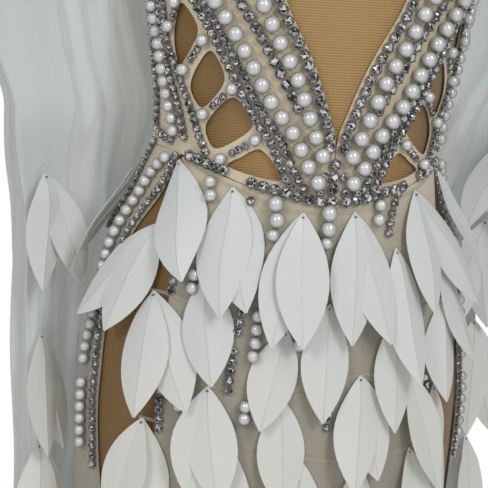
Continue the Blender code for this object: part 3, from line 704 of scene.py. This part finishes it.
# petals: one leaf is modelled, then each copy is bent to its own place
petals = {
    "length": 0.105, "width": 0.0370, "thickness": 0.0005, "rise": 0.16, "layer": 0.0026,
    "settle": 0.018, "rootLift": 0.0038, "columns": 8, "rows": 20,
    "fullness": 0.84, "leastWidth": 0.06,  # of its outline, which is a sine's power
    "fold": (0.14, 0.34), "curl": (-0.003, 0.006), "twist": 9.0,
    "knotDown": 0.0035, "knotLift": 0.0006, "knotRadius": 0.0008,
    "tapeHalfHeight": 0.0014, "tapeLift": 0.0032, "tapeThickness": 0.0002, "tapeEnd": 1.5,
    "front": {  # angle and height of the root, lean in degrees, layer, share of the full length
        "petals_waist": (
            (-63.5, -0.023, 28, 0, 0.92), (-36.5, -0.037, 10, 1, 0.92), (-36.5, -0.037, 20, 0, 0.92),
            (-10, -0.052, -8, 0, 0.96), (-10, -0.052, 4, 1, 0.95), (8.5, -0.051, 14, 0, 0.98),
            (8.5, -0.051, -3, 1, 0.95), (37.5, -0.037, 30, 0, 1.08), (37.5, -0.037, -6, 1, 0.90),
            (64, -0.023, 8, 0, 0.88),
        ),
        "petals_hip": (
            (-59.5, -0.071, -8, 1, 0.84), (-59.5, -0.071, -27, 0, 0.88), (-37, -0.105, 13, 1, 0.80),
            (24.5, -0.080, 3, 1, 1.0), (48, -0.090, 14, 0, 0.92),
        ),
        "petals_middle": (
            (-53.5, -0.122, 7, 1, 0.90), (-53.5, -0.122, 26, 0, 0.92), (-10.5, -0.142, -11, 0, 0.74),
            (1.5, -0.122, -2, 0, 0.86), (24, -0.134, -4, 0, 0.86), (47, -0.126, -10, 1, 0.78),
        ),
        "petals_lower": (
            (-31, -0.190, 10, 1, 0.84), (-31, -0.190, -4, 0, 0.82), (-10, -0.196, 3, 0, 0.82),
            (12.5, -0.179, 10, 0, 0.80), (12.5, -0.179, -6, 1, 0.84), (29.5, -0.179, 16, 0, 0.98),
            (42, -0.196, 4, 0, 0.88),
        ),
        "petals_low_row": (
            (-50, -0.222, -11, 1, 0.84), (-50, -0.222, 6, 0, 0.86), (-22, -0.240, -4, 0, 0.90),
            (-4, -0.244, 4, 0, 0.90), (14, -0.250, -3, 0, 0.92), (32, -0.244, 8, 0, 0.90),
            (44, -0.244, 3, 1, 0.90),
        ),
        "petals_hem_front": (
            (-52, -0.310, -4, 0, 0.92), (-35, -0.308, 5, 0, 0.92), (-18, -0.312, -5, 0, 0.92),
            (0, -0.308, 4, 0, 0.92), (18, -0.312, -4, 0, 0.92), (35, -0.308, 5, 0, 0.92),
            (52, -0.310, 3, 0, 0.92),
        ),
    },
    "back": {  # height, the angles of the pairs
        "petals_waist_back": (-0.030, (104, 148, 169, 191, 212, 256)),
        "petals_hip_back": (-0.120, (156, 180, 204)),
        "petals_middle_back": (-0.205, (152, 171, 189, 208)),
        "petals_hem_back": (-0.295, (158, 180, 202)),
    },
    "backPair": ((0, -9), (1, 6)),  # layer, lean
    "backShare": 0.95, "backTapeEnd": 4,
    "sleeve": {  # where round the sleeve, height, lean, layer
        "left": (
            (-122, -0.047, 10, 2), (-122, -0.047, -14, 0), (-118, -0.182, 9, 2), (-118, -0.182, -6, 0),
            (-110, -0.272, 8, 2), (-110, -0.272, -5, 0),
        ),
        "right": (
            (-122, 0.008, -6, 2), (-122, 0.008, 12, 0), (-114, -0.080, -10, 2), (-114, -0.080, 8, 0),
            (-108, -0.172, -5, 2), (-108, -0.172, 10, 0), (-102, -0.276, -8, 2), (-102, -0.276, 7, 0),
        ),
    },
    "sleeveShare": 0.92, "sleeveLift": 0.0021, "sleeveTapeHalfWidth": 1.3, "sleeveTapeEnd": 0.005,
}


def makeLeaf():  # flat, its root at the origin: x across, y down, both as shares of the petal
    clearSelection()
    bpy.ops.mesh.primitive_grid_add(x_subdivisions=petals["columns"], y_subdivisions=petals["rows"], size=2)
    leaf = bpy.context.object
    for vertex in leaf.data.vertices:
        down = 0.5 - 0.5 * math.cos(math.pi * (1 - vertex.co.y) / 2)
        width = max(math.sin(math.pi * down) ** petals["fullness"], petals["leastWidth"])
        vertex.co = (vertex.co.x * width, down, 0)
    leaf.name = "leafPattern"
    return leaf


def bentLeaf(placeAt, lean, layer, length):
    fold = chance.uniform(*petals["fold"]) * (1 if chance.random() < 0.85 else -0.6)
    curl = chance.uniform(*petals["curl"])
    twist = math.radians(chance.uniform(-petals["twist"], petals["twist"]))
    lean = math.radians(lean)
    across = leafPoints[:, 0] * petals["width"] / 2
    share = leafPoints[:, 1]
    down = share * length
    settle = np.minimum(down / petals["settle"], 1)
    lift = petals["rise"] * down + layer * petals["layer"] * settle
    lift = lift + curl * share**2 - fold * np.abs(across) * (0.6 + 0.4 * settle)
    lift = lift + across * math.sin(twist) * settle
    x = across * math.cos(lean) + down * math.sin(lean)
    y = down * math.cos(lean) - across * math.sin(lean)
    return placeAt(x, y, np.maximum(lift, 0.0004))


def bodyPlace(angle, height):
    def placeAt(x, y, lift):
        level = height - y
        oneDegree = np.linalg.norm(skin(angle + 1, level) - skin(angle - 1, level), axis=-1) / 2
        return offSkin(angle + x / oneDegree, level, petals["rootLift"] + lift)

    return placeAt


def sleevePlace(place, height, side):  # a sleeve's petals hang flat off the crest of its fold
    lift = petals["sleeveLift"] + petals["thickness"]
    ends = [onSleeve(np.float64(place + step), np.float64(height), lift) for step in (-3, 3)]
    along = (ends[1] - ends[0]) * (1, 1, 0)
    along /= np.linalg.norm(along)
    away = np.cross(along, (0, 0, 1))

    def placeAt(x, y, rise):
        points = onSleeve(place + 0 * y, height - y, lift) + x[:, None] * along + rise[:, None] * away
        points[..., 0] *= side
        return points

    return placeAt


def joinedCopies(name, pattern, pointSets):  # one mesh from many placed copies of a pattern
    count, copies = len(pattern.data.vertices), len(pointSets)
    polygons = pattern.data.polygons
    faces = [tuple(polygon.vertices) for polygon in polygons]
    faces = [tuple(i + k * count for i in face) for k in range(copies) for face in faces]
    mesh = bpy.data.meshes.new(name)
    mesh.from_pydata(np.concatenate(pointSets).tolist(), [], faces)
    mesh.polygons.foreach_set("material_index", [polygon.material_index for polygon in polygons] * copies)
    mesh.polygons.foreach_set("use_smooth", [polygon.use_smooth for polygon in polygons] * copies)
    if pattern.data.uv_layers:
        uv = np.array([loop.uv for loop in pattern.data.uv_layers.active.data])
        mesh.uv_layers.new(name="map").data.foreach_set("uv", np.tile(uv, (copies, 1)).ravel())
    piece = bpy.data.objects.new(name, mesh)
    bpy.context.scene.collection.objects.link(piece)
    return piece


def joinAll(pieces):
    clearSelection()
    for piece in pieces:
        piece.select_set(True)
    bpy.context.view_layer.objects.active = pieces[0]
    bpy.ops.object.join()
    return pieces[0]


def knotAt(placeAt, lean, layer):
    down = petals["knotDown"]
    lean = math.radians(lean)
    lift = petals["rise"] * down + layer * petals["layer"] * down / petals["settle"] + petals["knotLift"]
    spot = np.array([[down * math.sin(lean)], [down * math.cos(lean)], [lift]])
    return knotPoints + placeAt(*spot)[0]


def makeTier(name, node, tape, tapeFinish, spots):  # petals with their knots, sewn to one tape
    leaves, knots = [], []
    for placeAt, lean, layer, share in spots:
        leaves.append(bentLeaf(placeAt, lean, layer, petals["length"] * share))
        knots.append(knotAt(placeAt, lean, layer))
    piece = joinedCopies(name, leafPattern, leaves)
    thickened(piece, petals["thickness"], 0.0)
    smoothed(piece, 13)
    knotPiece = joinedCopies(name + "Knots", knotPattern, knots)
    for material in (satin, thread):
        piece.data.materials.append(material)
    knotPiece.data.materials.append(thread)
    thickened(tape, petals["tapeThickness"])
    tape.data.materials.append(tapeFinish)
    piece = joinAll([piece, knotPiece, tape])
    piece.name = piece.data.name = name
    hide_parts(node)
    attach(piece, "root")


def makeSkirtTier(node, path, spots):  # on a level strip of net along the path
    def place(across, up):
        along = np.linspace(0, 1, len(path))
        angle, height = (np.interp(across, along, [point[i] for point in path]) for i in (0, 1))
        return offSkin(angle, height + (2 * up - 1) * petals["tapeHalfHeight"], petals["tapeLift"])

    name = "petals" + node[7:].title().replace("_", "")
    makeTier(name, node, laidGrid(60, 2, place), tapeNet, spots)


def makePetals():
    for node, table in petals["front"].items():
        roots = sorted({(row[0], row[1]) for row in table})
        (first, firstHeight), (last, lastHeight), end = roots[0], roots[-1], petals["tapeEnd"]
        path = [(first - end, firstHeight), *roots, (last + end, lastHeight)]
        angles = np.linspace(path[0][0], path[-1][0], 40)
        path = list(zip(angles, curveThrough(path, 1)(angles)))
        makeSkirtTier(node, path, [(bodyPlace(*row[:2]), *row[2:]) for row in table])
    for node, (height, angles) in petals["back"].items():
        end = petals["backTapeEnd"]
        spots = [(bodyPlace(angle, height), lean, layer, petals["backShare"])
                 for angle in angles for layer, lean in petals["backPair"]]
        makeSkirtTier(node, [(angles[0] - end, height), (angles[-1] + end, height)], spots)
    for side, hand in sides:
        table = petals["sleeve"][hand]
        column = curveThrough([(row[1], row[0]) for row in table[::2]], 1)
        top, low = table[0][1] + petals["sleeveTapeEnd"], table[-1][1] - petals["sleeveTapeEnd"]

        def tapePlace(across, up):
            level = low + (top - low) * up
            turn = column(level) + (2 * across - 1) * petals["sleeveTapeHalfWidth"]
            return onSleeve(turn, level, petals["sleeveLift"]) * (side, 1, 1)

        spots = [(sleevePlace(*row[:2], side), *row[2:], petals["sleeveShare"]) for row in table]
        makeTier(f"petalsSleeve{hand.title()}", f"sleeve_{hand}_petals", laidGrid(2, 60, tapePlace),
                 tapeTulle, spots)


leafPattern = makeLeaf()
leafPoints = pointsOf(leafPattern)
clearSelection()
bpy.ops.mesh.primitive_uv_sphere_add(segments=8, ring_count=6, radius=petals["knotRadius"])
knotPattern = bpy.context.object
knotPoints = pointsOf(knotPattern)
makePetals()
print("petals made")


# beads: one pearl and one set stone are modelled, then threaded along their rows
beads = {
    "pearl": 0.0063, "midPearl": 0.0047, "stringPearl": 0.0050,  # radii
    "stone": 0.0046, "smallStone": 0.0037, "tinyStone": 0.0030,
    "seat": 0.0027,  # how far off the form they sit
    "pitch": {  # from bead to bead in each kind of row
        "pearls": 0.0144, "neckline": 0.0091, "between": 0.0092, "beside": 0.0071, "strut": 0.0056,
        "side": 0.0064, "hip": 0.0074, "waist": 0.0084, "middle": 0.0090,
    },
    "offNeckline": 0.0045, "offPearls": (0.0098, 0.0168),  # how far off those lines the stones run
}


def beadKind(size):
    return "pearl" if size.lower().endswith("pearl") else "stone"


def beadRise(size):  # a stone's cup stands on the cloth, a pearl's middle is its radius above it
    return beads["seat"] + (beads[size] if beadKind(size) == "pearl" else 0.0)


def makePearl():
    clearSelection()
    bpy.ops.mesh.primitive_uv_sphere_add(segments=14, ring_count=9, radius=1)
    bead = bpy.context.object
    for vertex in bead.data.vertices:
        if abs(vertex.co.z) > 0.999:
            vertex.co.z *= 0.9  # the drilled hole's dimple
    smoothed(bead)
    bead.data.materials.append(pearl)
    return bead


def cone(corners, low, high, depth, place, part):  # part 0 is crystal and 1 is its metal
    clearSelection()
    bpy.ops.mesh.primitive_cone_add(vertices=corners, radius1=low, radius2=high, depth=depth,
                                    location=place)
    bpy.ops.object.transform_apply(location=True)
    made = bpy.context.object
    for material in (stone, setting):
        made.data.materials.append(material)
    for polygon in made.data.polygons:
        polygon.material_index = part
    return made


def makeStone():  # z is outwards; the girdle's radius is 1
    crystal = cone(8, 0.86, 0.50, 0.42, (0, 0, 0.92), 0)
    turn = math.radians(22.5)
    for vertex in crystal.data.vertices:
        x, y, z = vertex.co
        if z > 1.0:
            vertex.co = (x * math.cos(turn) - y * math.sin(turn), x * math.sin(turn) + y * math.cos(turn), z)
    bpy.ops.object.mode_set(mode="EDIT")
    bpy.ops.mesh.select_all(action="SELECT")
    bpy.ops.mesh.quads_convert_to_tris(quad_method="BEAUTY", ngon_method="BEAUTY")
    bpy.ops.object.mode_set(mode="OBJECT")
    cup = cone(8, 0.72, 1.0, 0.80, (0, 0, 0.40), 1)
    turns = [math.radians(90 * i + 22.5) for i in range(4)]
    claws = [cone(4, 0.20, 0.10, 0.55, (0.86 * math.cos(a), 0.86 * math.sin(a), 0.88), 1) for a in turns]
    return joinAll([crystal, cup, *claws])


pearlPattern, stonePattern = makePearl(), makeStone()
patternPoints = {"pearl": pointsOf(pearlPattern), "stone": pointsOf(stonePattern)}


def smoothLine(points, count=240):
    points = np.array(points, float)
    steps = np.hypot(np.diff(points[:, 0]) * 0.0022, np.diff(points[:, 1]))
    along = np.concatenate([[0], np.cumsum(steps)])
    places = np.linspace(0, along[-1], count)
    return np.stack([curveThrough(zip(along, points[:, i]), 1)(places) for i in (0, 1)], axis=-1)


def beside(points, offset):  # a path moved sideways on the form, to larger angles if the path falls
    line = smoothLine(points, 40)
    scale = degreeWidth(line[:, 1])
    step = np.gradient(line, axis=0)
    u, v = step[:, 0] * scale, step[:, 1]
    size = np.hypot(u, v)
    return np.stack([line[:, 0] - offset * v / size / scale, line[:, 1] + offset * u / size], axis=-1)


class BeadBox:  # gathers placed beads, then makes one mesh of each kind
    def __init__(self):
        self.kinds = {"pearl": [], "stone": []}

    def add(self, size, centre, ahead, normal):
        kind, radius = beadKind(size), beads[size]
        side = np.cross(normal, ahead)
        side /= np.linalg.norm(side)
        ahead = np.cross(side, normal)
        if kind == "pearl":
            axes = np.stack([side, normal, ahead])
            radius *= chance.uniform(0.97, 1.02)
        else:
            turn = chance.uniform(-0.2, 0.2)
            c, s = math.cos(turn), math.sin(turn)
            axes = np.array([[c, s, 0], [-s, c, 0], [0, 0, 1]]) @ np.stack([side, ahead, normal])
        self.kinds[kind].append(patternPoints[kind] * radius @ axes + centre)

    def along(self, size, path, pitch=None, skip=(), hidden=False):  # the beads touch if no pitch is given
        pitch = pitch or 2.06 * beads[size]
        line = smoothLine(path)
        rise = beadRise(size)
        points = offSkin(line[:, 0], line[:, 1], rise)
        normals = outwards(line[:, 0], line[:, 1])
        run = np.concatenate([[0], np.cumsum(np.linalg.norm(np.diff(points, axis=0), axis=1))])

        def at(values, place):
            return np.array([np.interp(place, run, column) for column in values.T])

        count = max(int(round(run[-1] / pitch)), 1)
        for i in range(count):
            place = (i + 0.5) * run[-1] / count
            if i in skip or (hidden and underPetal(*at(line, place), rise + beads[size])):
                continue
            ahead = at(points, place + 0.3 * pitch) - at(points, place - 0.3 * pitch)
            normal = at(normals, place)
            self.add(size, at(points, place), ahead, normal / np.linalg.norm(normal))

    def single(self, size, angle, height):
        centre = offSkin(angle, height, beadRise(size))
        self.add(size, centre, np.array([0.0, 0.1, 1.0]), outwards(np.float64(angle), np.float64(height)))

    def finish(self, name, *nodes):
        if self.kinds["pearl"]:
            piece = joinedCopies(name + "Pearls", pearlPattern, self.kinds["pearl"])
            dress(piece, name + "Pearls", pearl, "pearl", *nodes)
        if self.kinds["stone"]:
            piece = joinedCopies(name + "Stones", stonePattern, self.kinds["stone"])
            for material in (stone, setting):
                piece.data.materials.append(material)
            # a random painted glint value for each facet, read by the crystal finish
            spark = piece.data.attributes.new("spark", "FLOAT", "FACE")
            values = [min(max(chance.gauss(0.5, 0.32), 0), 1) for _ in piece.data.polygons]
            spark.data.foreach_set("value", values)
            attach(piece, "root")


rows = {
    "innerPearls": ((36, 0.135), (28.7, 0.102), (23, 0.0755), (16.5, 0.0495), (12, 0.023),
                    (7.6, -0.0005), (4.1, -0.0155)),
    "outerPearls": ((55, 0.130), (46, 0.103), (39.8, 0.084), (32, 0.056), (25, 0.029), (16.3, 0.005),
                    (9.5, -0.021), (4.4, -0.0340)),
    "sidePearls": ((78, 0.135), (79.5, 0.092), (76.5, 0.065), (74.5, 0.040), (73, 0.022), (70, 0.003),
                   (69, -0.006)),
    "hipPearls": ((69, -0.020), (76.5, -0.036), (80.5, -0.058), (82, -0.078), (82, -0.095),
                  (81, -0.157), (82, -0.176), (81, -0.196), (79, -0.220), (78, -0.262)),
    "betweenStones": ((47, 0.135), (37.5, 0.104), (29.5, 0.078), (22.5, 0.052), (17.5, 0.034), (14.5, 0.022)),
    "sideInner": ((74, 0.135), (73, 0.100), (71.5, 0.068), (67.5, 0.052), (60.5, 0.022), (56, 0.001),
                  (50, -0.016)),
    "sideMiddle": ((75.5, 0.135), (75.8, 0.090), (72.5, 0.051), (68, 0.023), (64.5, 0.000), (62.5, -0.007)),
    "sideOuter": ((85, 0.135), (86, 0.092), (85, 0.060), (85, 0.035), (87, 0.019), (88.5, 0.000),
                  (80, -0.0065), (70, -0.009)),
    "hipInner": ((65.5, -0.017), (68, -0.041), (72.5, -0.062), (74.5, -0.081), (76, -0.156),
                 (73.5, -0.198), (71.5, -0.242), (71, -0.275)),
    "hipOuter": ((86, -0.011), (89.5, -0.022), (96, -0.056), (103, -0.092)),
    "cutOutEdgeHigh": ((49.4, -0.088), (47.6, -0.1031), (47.1, -0.1230)),
    "cutOutEdgeLow": ((45.4, -0.195), (44.0, -0.231)),
    "waist": ((32, -0.0315), (25, -0.0345), (20, -0.0365), (10, -0.0412), (2.6, -0.0435)),
    "waistSide": ((60, -0.0175), (54, -0.0195), (47, -0.0225), (39.5, -0.026)),
}
struts = ((51.5, 0.071, 61.5, 0.048), (40, 0.037, 53, 0.016), (31, 0.000, 43.5, -0.017),
          (64, 0.097, 68.5, 0.079))


def mirrored(path, side):
    return [(side * angle, height) for angle, height in path]


def makeBodiceBeads():
    pitch = beads["pitch"]
    for side, hand in sides:
        for name, node in (("innerPearls", "pearls_inner"), ("outerPearls", "pearls_outer")):
            box = BeadBox()
            box.along("pearl", mirrored(rows[name], side), pitch["pearls"])
            box.finish(name[:5] + hand.title(), f"{node}_{hand}")
        box = BeadBox()
        levels = np.linspace(0.30, -0.0075, 40)
        edge = [(side * (neckAngle(h) + beads["offNeckline"] / degreeWidth(h)), h) for h in levels]
        box.along("stone", edge, pitch["neckline"])
        box.along("stone", mirrored(rows["betweenStones"], side), pitch["between"])
        for offset in beads["offPearls"]:
            path = [(a, h) for a, h in beside(rows["outerPearls"], offset) if h > waistLine(a) + 0.006]
            box.along("smallStone", mirrored(path, side), pitch["beside"])
        for a, b, c, d in struts:
            box.single("midPearl", side * a, b)
            box.single("midPearl", side * c, d)
            path = [(side * (a + (c - a) * t), b + (d - b) * t) for t in (0.22, 0.78)]
            box.along("tinyStone", path, pitch["strut"])
        for name in ("sideInner", "sideMiddle", "sideOuter"):
            box.along("smallStone", mirrored(rows[name], side), pitch["side"])
        box.finish("bodice" + hand.title())
        box = BeadBox()
        box.along("midPearl", mirrored(rows["sidePearls"], side))
        box.finish("side" + hand.title(), f"side_pearls_{hand}")
        box = BeadBox()
        box.along("midPearl", mirrored(rows["hipPearls"], side), skip=(12, 20))  # two are left out
        for name in ("hipInner", "hipOuter", "cutOutEdgeHigh", "cutOutEdgeLow"):
            box.along("smallStone", mirrored(rows[name], side), pitch["hip"], hidden=True)
        box.finish("hip" + hand.title(), f"hip_pearls_{hand}")
    box = BeadBox()
    for side in (-1, 1):
        for name in ("waist", "waistSide"):
            box.along("stone", mirrored(rows[name], side), pitch["waist"])
    box.along("stone", ((0, -0.0105), (-0.4, -0.027), (-0.4, -0.0470)), pitch["middle"])
    for angle, height in ((3.6, -0.0245), (-3.8, -0.0245), (4.5, -0.036), (-5, -0.036), (9, -0.037)):
        box.single("smallStone", angle, height)
    box.finish("waist")


strings = (  # bead size, path down the skirt
    ("stringPearl", ((-46, -0.030), (-43, -0.049), (-42.3, -0.060), (-41.4, -0.080), (-40.3, -0.0936),
                     (-40.1, -0.1107), (-40.3, -0.138), (-39.5, -0.170), (-38.1, -0.222))),
    ("smallStone", ((-29, -0.042), (-24, -0.128), (-25, -0.164), (-25, -0.195))),
    ("pearl", ((-21, -0.0402), (-18.7, -0.058), (-18.9, -0.0640))),
    ("stringPearl", ((-19.2, -0.0645), (-18.5, -0.0816), (-18.8, -0.0942), (-19.3, -0.1157),
                     (-19.3, -0.1355), (-19.1, -0.1548), (-20, -0.1742), (-20.4, -0.189))),
    ("stringPearl", ((-19.9, -0.198), (-19.9, -0.217))),
    ("pearl", ((-1.6, -0.0455), (-1.3, -0.0690))),
    ("stringPearl", ((-1.5, -0.0692), (-2, -0.100), (-5, -0.140), (-7.2, -0.1571), (-7.2, -0.1689),
                     (-8.4, -0.1894), (-9.3, -0.2083), (-10.1, -0.2231), (-11.3, -0.238))),
    ("smallStone", ((28.5, -0.034), (25, -0.047), (21.4, -0.0714))),
    ("stringPearl", ((18.5, -0.0402), (16.9, -0.0620))),
    ("stringPearl", ((19.2, -0.1585), (17.7, -0.1724), (15.4, -0.1845))),
    ("tinyStone", ((21, -0.179), (20.4, -0.1888), (20.0, -0.1975))),
    ("tinyStone", ((3.8, -0.2065), (2.9, -0.2225))),
    ("smallStone", ((36.5, -0.184), (40, -0.199), (44, -0.203), (45.5, -0.230))),
    ("midPearl", ((150, -0.026), (151, -0.090), (150, -0.180))),
    ("smallStone", ((165, -0.026), (166, -0.100), (165, -0.200))),
    ("midPearl", ((180, -0.026), (180, -0.100), (180, -0.190))),
    ("smallStone", ((195, -0.026), (194, -0.100), (195, -0.200))),
    ("midPearl", ((210, -0.026), (209, -0.090), (210, -0.180))),
)


def underPetal(angle, height, top):  # whether a bead as high as this would poke through a petal
    for table in petals["front"].values():
        for root, start, lean, layer, share in table:
            x = (angle - root) * np.linalg.norm(skin(root + 1, height) - skin(root - 1, height)) / 2
            y = start - height
            turn = math.radians(lean)
            down = y * math.cos(turn) + x * math.sin(turn)
            across = abs(x * math.cos(turn) - y * math.sin(turn))
            length = petals["length"] * share
            if 0 < down < length:
                half = petals["width"] / 2 * math.sin(math.pi * down / length)
                lift = petals["rise"] * down + petals["rootLift"] - 0.3 * across
                if across < half + 0.002 and lift < top + 0.003:
                    return True
    return False


def makeStrings():
    box = BeadBox()
    for size, path in strings:
        box.along(size, path, hidden=True)
    box.finish("skirtStrings")


makeBodiceBeads()
makeStrings()
for pattern in (leafPattern, knotPattern, pearlPattern, stonePattern):
    bpy.data.objects.remove(pattern)
print("beads made")


# the studio
studio = {
    "azimuth": -18.36, "elevation": 10.0, "distance": 1.25, "target": (0.0, 0.0, 0.955),
    "roll": 4.075, "aside": 0.0320, "below": 0.0128, "lens": 111.9,
    "floor": 3.6, "sky": 0.445, "skyInGloss": 0.20, "keyPower": 9.0, "glintPower": 8.5,
}


def makeCamera():
    turn, rise = math.radians(studio["azimuth"]), math.radians(studio["elevation"])
    away = Vector((math.sin(turn) * math.cos(rise), -math.cos(turn) * math.cos(rise), math.sin(rise)))
    right = Vector((math.cos(turn), math.sin(turn), 0))
    up = away.cross(right)
    roll = math.radians(studio["roll"])
    tiltedRight = right * math.cos(roll) + up * math.sin(roll)
    place = Vector(studio["target"]) + away * studio["distance"]
    tiltedUp = away.cross(tiltedRight)
    middle = Vector(studio["target"]) - tiltedRight * studio["aside"] - tiltedUp * studio["below"]
    back = (place - middle).normalized()
    tiltedUp = back.cross(tiltedRight).normalized()
    tiltedRight = tiltedUp.cross(back)
    camera = bpy.data.objects.new("camera", bpy.data.cameras.new("camera"))
    camera.data.lens = studio["lens"]
    camera.data.sensor_width = 36
    camera.matrix_world = Matrix((
        (tiltedRight.x, tiltedUp.x, back.x, place.x),
        (tiltedRight.y, tiltedUp.y, back.y, place.y),
        (tiltedRight.z, tiltedUp.z, back.z, place.z),
        (0, 0, 0, 1),
    ))
    bpy.context.scene.collection.objects.link(camera)
    bpy.context.scene.camera = camera


def makeStudio():
    clearSelection()
    bpy.ops.mesh.primitive_plane_add(size=studio["floor"], location=(0, 0, -0.0005))
    floor = bpy.context.object
    floor.name = "floor"
    floor.data.materials.append(plainFinish("paleFloor", (0.93, 0.93, 0.93), (0.95, 0.95, 0.945), 3.0, 0.8))
    world = bpy.data.worlds.new("studio")
    bpy.context.scene.world = world
    world.use_nodes = True
    tree = world.node_tree
    ray = tree.nodes.new("ShaderNodeLightPath")
    shade = tree.nodes["Background"]
    shade.inputs[0].default_value = (1, 1, 1, 1)
    shade.inputs[1].default_value = studio["sky"]
    for flag, strength in (("Is Glossy Ray", studio["skyInGloss"]), ("Is Camera Ray", 1.0)):
        other = tree.nodes.new("ShaderNodeBackground")
        other.inputs[0].default_value = (1, 1, 1, 1)
        other.inputs[1].default_value = strength
        choose = tree.nodes.new("ShaderNodeMixShader")
        tree.links.new(ray.outputs[flag], choose.inputs[0])
        tree.links.new(shade.outputs[0], choose.inputs[1])
        tree.links.new(other.outputs[0], choose.inputs[2])
        shade = choose
    tree.links.new(shade.outputs[0], tree.nodes["World Output"].inputs[0])
    lamps = (  # place, width, power: one soft key, and small ones that give the beads their glints
        ((0.45, -1.7, 2.75), 0.8, studio["keyPower"]),
        ((-1.35, -1.30, 1.90), 0.46, studio["glintPower"]),
        ((0.42, -1.85, 1.95), 0.46, studio["glintPower"]),
    )
    for number, (place, width, power) in enumerate(lamps):
        lamp = bpy.data.objects.new(f"lamp{number}", bpy.data.lights.new(f"lamp{number}", "AREA"))
        lamp.data.energy = power
        lamp.data.size = width
        lamp.location = place
        lamp.rotation_mode = "QUATERNION"
        lamp.rotation_quaternion = (Vector((0, 0, 1.0)) - lamp.location).to_track_quat("-Z", "Y")
        bpy.context.scene.collection.objects.link(lamp)
    bpy.context.scene.view_settings.view_transform = "Standard"


makeCamera()
makeStudio()
print("studio made")
